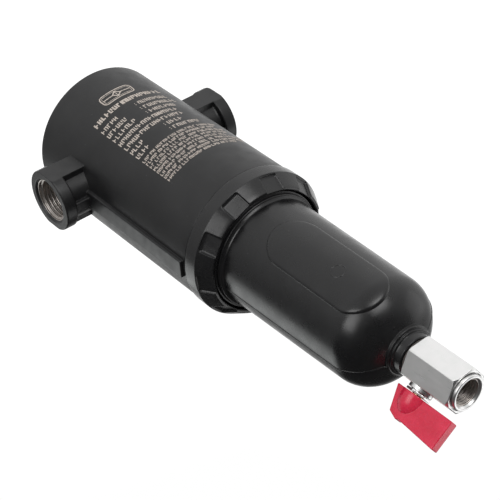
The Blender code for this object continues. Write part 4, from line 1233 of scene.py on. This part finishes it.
def build_tie_rod(steel):
    """Build the tie rod with its thread, washer and nut."""
    bar = rod("rod_core", ROD_CORE, ROD_LOW.z, ROD_HIGH.z, SMALL)
    dress(shade(bar), steel, "head", "tie_rod")
    thread = thread_sleeve("rod_thread", *ROD_THREAD, ROD_LOW.z + 0.3, ROD_THREAD_TOP, ROD_PITCH, 48, 8)
    dress(thread, steel, "head", None)
    low, high = span("tie_rod_washer")
    washer = tube("flat_washer", high.x, ROD_HOLE, low.z, high.z, SMALL, 0.2)
    dress(shade(washer), steel, "head", "tie_rod_washer")
    low, high = span("tie_rod_nut")
    nut = soften(prism("hex_nut", polygon(6, high.x - low.x), low.z, high.z), 0.3, 2)
    combine(nut, rod("nut_hole", 3.0, low.z - 1.0, high.z + 1.0, SMALL), "DIFFERENCE")
    dress(shade(nut), steel, "head", "tie_rod_nut")


def build_seals(rubber, white, fibre):
    """Build the bowl's rubber ring, the slip washer and the drain washer."""
    middle = 0.5 * (BOWL_GROOVE_TOP + BOWL_GROOVE_FOOT)
    ring = rubber_ring("bowl_ring", BOWL_RING_MIDDLE, middle, BOWL_RING_SECTION, ROUND)
    dress(ring, rubber, "bowl", "bowl_o_ring")
    low, high = span("slip_washer")
    slip = tube("slip_ring", high.x, SLIP_BORE, low.z, high.z, ROUND, 0.1)
    dress(shade(slip), white, "slip_washer", "slip_washer")
    low, high = span("drain_washer")
    drain = tube("drain_gasket", high.x, BOSS_BORE, low.z, high.z, MEDIUM, 0.15)
    dress(shade(drain), fibre, "bowl", "drain_washer")


# ================================================================ stage
def look_matrix(place, target, up):
    """Return a matrix at a place that looks at a target with its top towards up."""
    back = (place - target).normalized()
    right = up.cross(back).normalized()
    top = back.cross(right)
    turn = Matrix((right, top, back)).transposed().to_4x4()
    return Matrix.Translation(place) @ turn


def soft_light(name, place, size, power, colour=(1.0, 1.0, 1.0)):
    """Add a square soft box that looks at the object."""
    lamp = bpy.data.lights.new(name, "AREA")
    lamp.shape = "SQUARE"
    lamp.size = size
    lamp.energy = power
    lamp.color = colour
    item = bpy.data.objects.new(name, lamp)
    item.matrix_world = look_matrix(place, CAMERA_TARGET, Vector((0.0, 0.05, 1.0)))
    item.visible_camera = False
    bpy.context.scene.collection.objects.link(item)


def build_world(up, right, view):
    """Light the object from a pale sky over it and a white wall behind it; the camera sees white."""
    studio = Graph(bpy.data.worlds.new("studio"))
    ray = studio.node("TexCoord", {})["Generated"]
    side = studio.math("MULTIPLY", studio.math("ABSOLUTE", studio.dot(ray, right)), WORLD_SIDE)
    sky = studio.math("ADD", studio.dot(ray, up + WORLD_BEHIND * view), side)
    light = studio.ramp(sky, -0.1, 1.05, WORLD_DIM, WORLD_PALE)
    wall = studio.ramp(studio.dot(ray, view), *WALL_REACH, 0.0, WALL_LIGHT, "SMOOTHSTEP")
    light = studio.math("ADD", light, wall)
    seen = studio.node("LightPath", {})["Is Camera Ray"]
    light = studio.math("MAXIMUM", light, seen)
    background = studio.nodes["Background"]
    studio.links.new(light, background.inputs["Strength"])
    background.inputs["Color"].default_value = (1.0, 1.0, 1.0, 1.0)
    bpy.context.scene.world = studio.owner


def build_stage():
    """Set the floor, the lights and the camera."""
    bpy.context.scene.view_settings.view_transform = "Standard"
    bpy.ops.mesh.primitive_plane_add(size=FLOOR_SIZE, location=(0.0, 0.0, FLOOR_Z))
    floor = bpy.context.object
    floor.name = "floor"
    floor.data.materials.append(pale_stage())
    floor.visible_glossy = False
    view = (CAMERA_TARGET - CAMERA_PLACE).normalized()
    up = CAMERA_UP.normalized()
    right = view.cross(up)
    build_world(up, right, view)
    for name, (across, rise, depth), size, power, colour in SOFT_BOXES:
        place = CAMERA_TARGET + across * right + rise * up + depth * view
        soft_light(name, place, size, power, colour)
    lens = bpy.data.cameras.new("camera")
    lens.lens = CAMERA_LENS
    lens.sensor_width = 36.0
    lens.clip_start = 0.05
    lens.clip_end = 20.0
    camera = bpy.data.objects.new("camera", lens)
    camera.matrix_world = look_matrix(CAMERA_PLACE, CAMERA_TARGET, CAMERA_UP)
    bpy.context.scene.collection.objects.link(camera)
    bpy.context.scene.camera = camera


def main():
    """Build every piece, then the stage."""
    coats = {
        name: black_coat(name, *finish) for name, finish in (
            ("head_coat", ((0.005, 0.005, 0.0055), (0.009, 0.009, 0.0095), (0.34, 0.46), 0.30, 0.012, 0.45)),
            ("bowl_coat", ((0.005, 0.005, 0.0055), (0.008, 0.008, 0.0085), (0.24, 0.34), 0.45, 0.008, 0.4)),
            ("ring_coat", ((0.007, 0.007, 0.0075), (0.011, 0.011, 0.0115), (0.2, 0.3), 0.3, 0.008, 0.55)),
        )
    }
    metals = {
        name: bare_metal(name, *finish) for name, finish in (
            ("nickel_plating", ((0.85, 0.845, 0.84), (0.76, 0.78, 0.76), 0.26, 0.38, (1.0, 1.0, 0.06))),
            ("cut_thread", ((0.56, 0.52, 0.49), (0.28, 0.24, 0.21), 0.30, 0.48, (0.1, 1.0, 1.0))),
            ("stainless_steel", ((0.60, 0.60, 0.59), (0.45, 0.44, 0.42), 0.2, 0.34, (1.0, 1.0, 0.08))),
            ("knitted_wire", ((0.55, 0.55, 0.53), (0.35, 0.34, 0.32), 0.3, 0.45, (1.0, 1.0, 1.0))),
            ("turned_brass", ((0.72, 0.56, 0.28), (0.48, 0.34, 0.16), 0.2, 0.34, (1.0, 1.0, 0.2))),
        )
    }
    plating = metals["nickel_plating"]
    steel = metals["stainless_steel"]
    rubber = soft_material("nitrile_rubber", (0.012, 0.012, 0.012), (0.022, 0.021, 0.02), 0.6, 0.4)
    white = soft_material("white_seat_plastic", (0.80, 0.79, 0.75), (0.72, 0.70, 0.65), 0.42, 0.5)
    fibre = soft_material("dark_fibre", (0.035, 0.03, 0.027), (0.06, 0.05, 0.045), 0.75, 0.3)

    build_head(coats["head_coat"], metals["cut_thread"])
    build_print(ink())
    build_ring(coats["ring_coat"])
    build_bowl(coats["bowl_coat"])
    build_valve_body(plating)
    build_insert(plating, metals["cut_thread"])
    build_valve_small_parts(plating, white, metals["turned_brass"])
    build_handle(red_plastic())
    build_element(steel, metals["knitted_wire"], rubber)
    build_tie_rod(steel)
    build_seals(rubber, white, fibre)
    build_stage()


main()
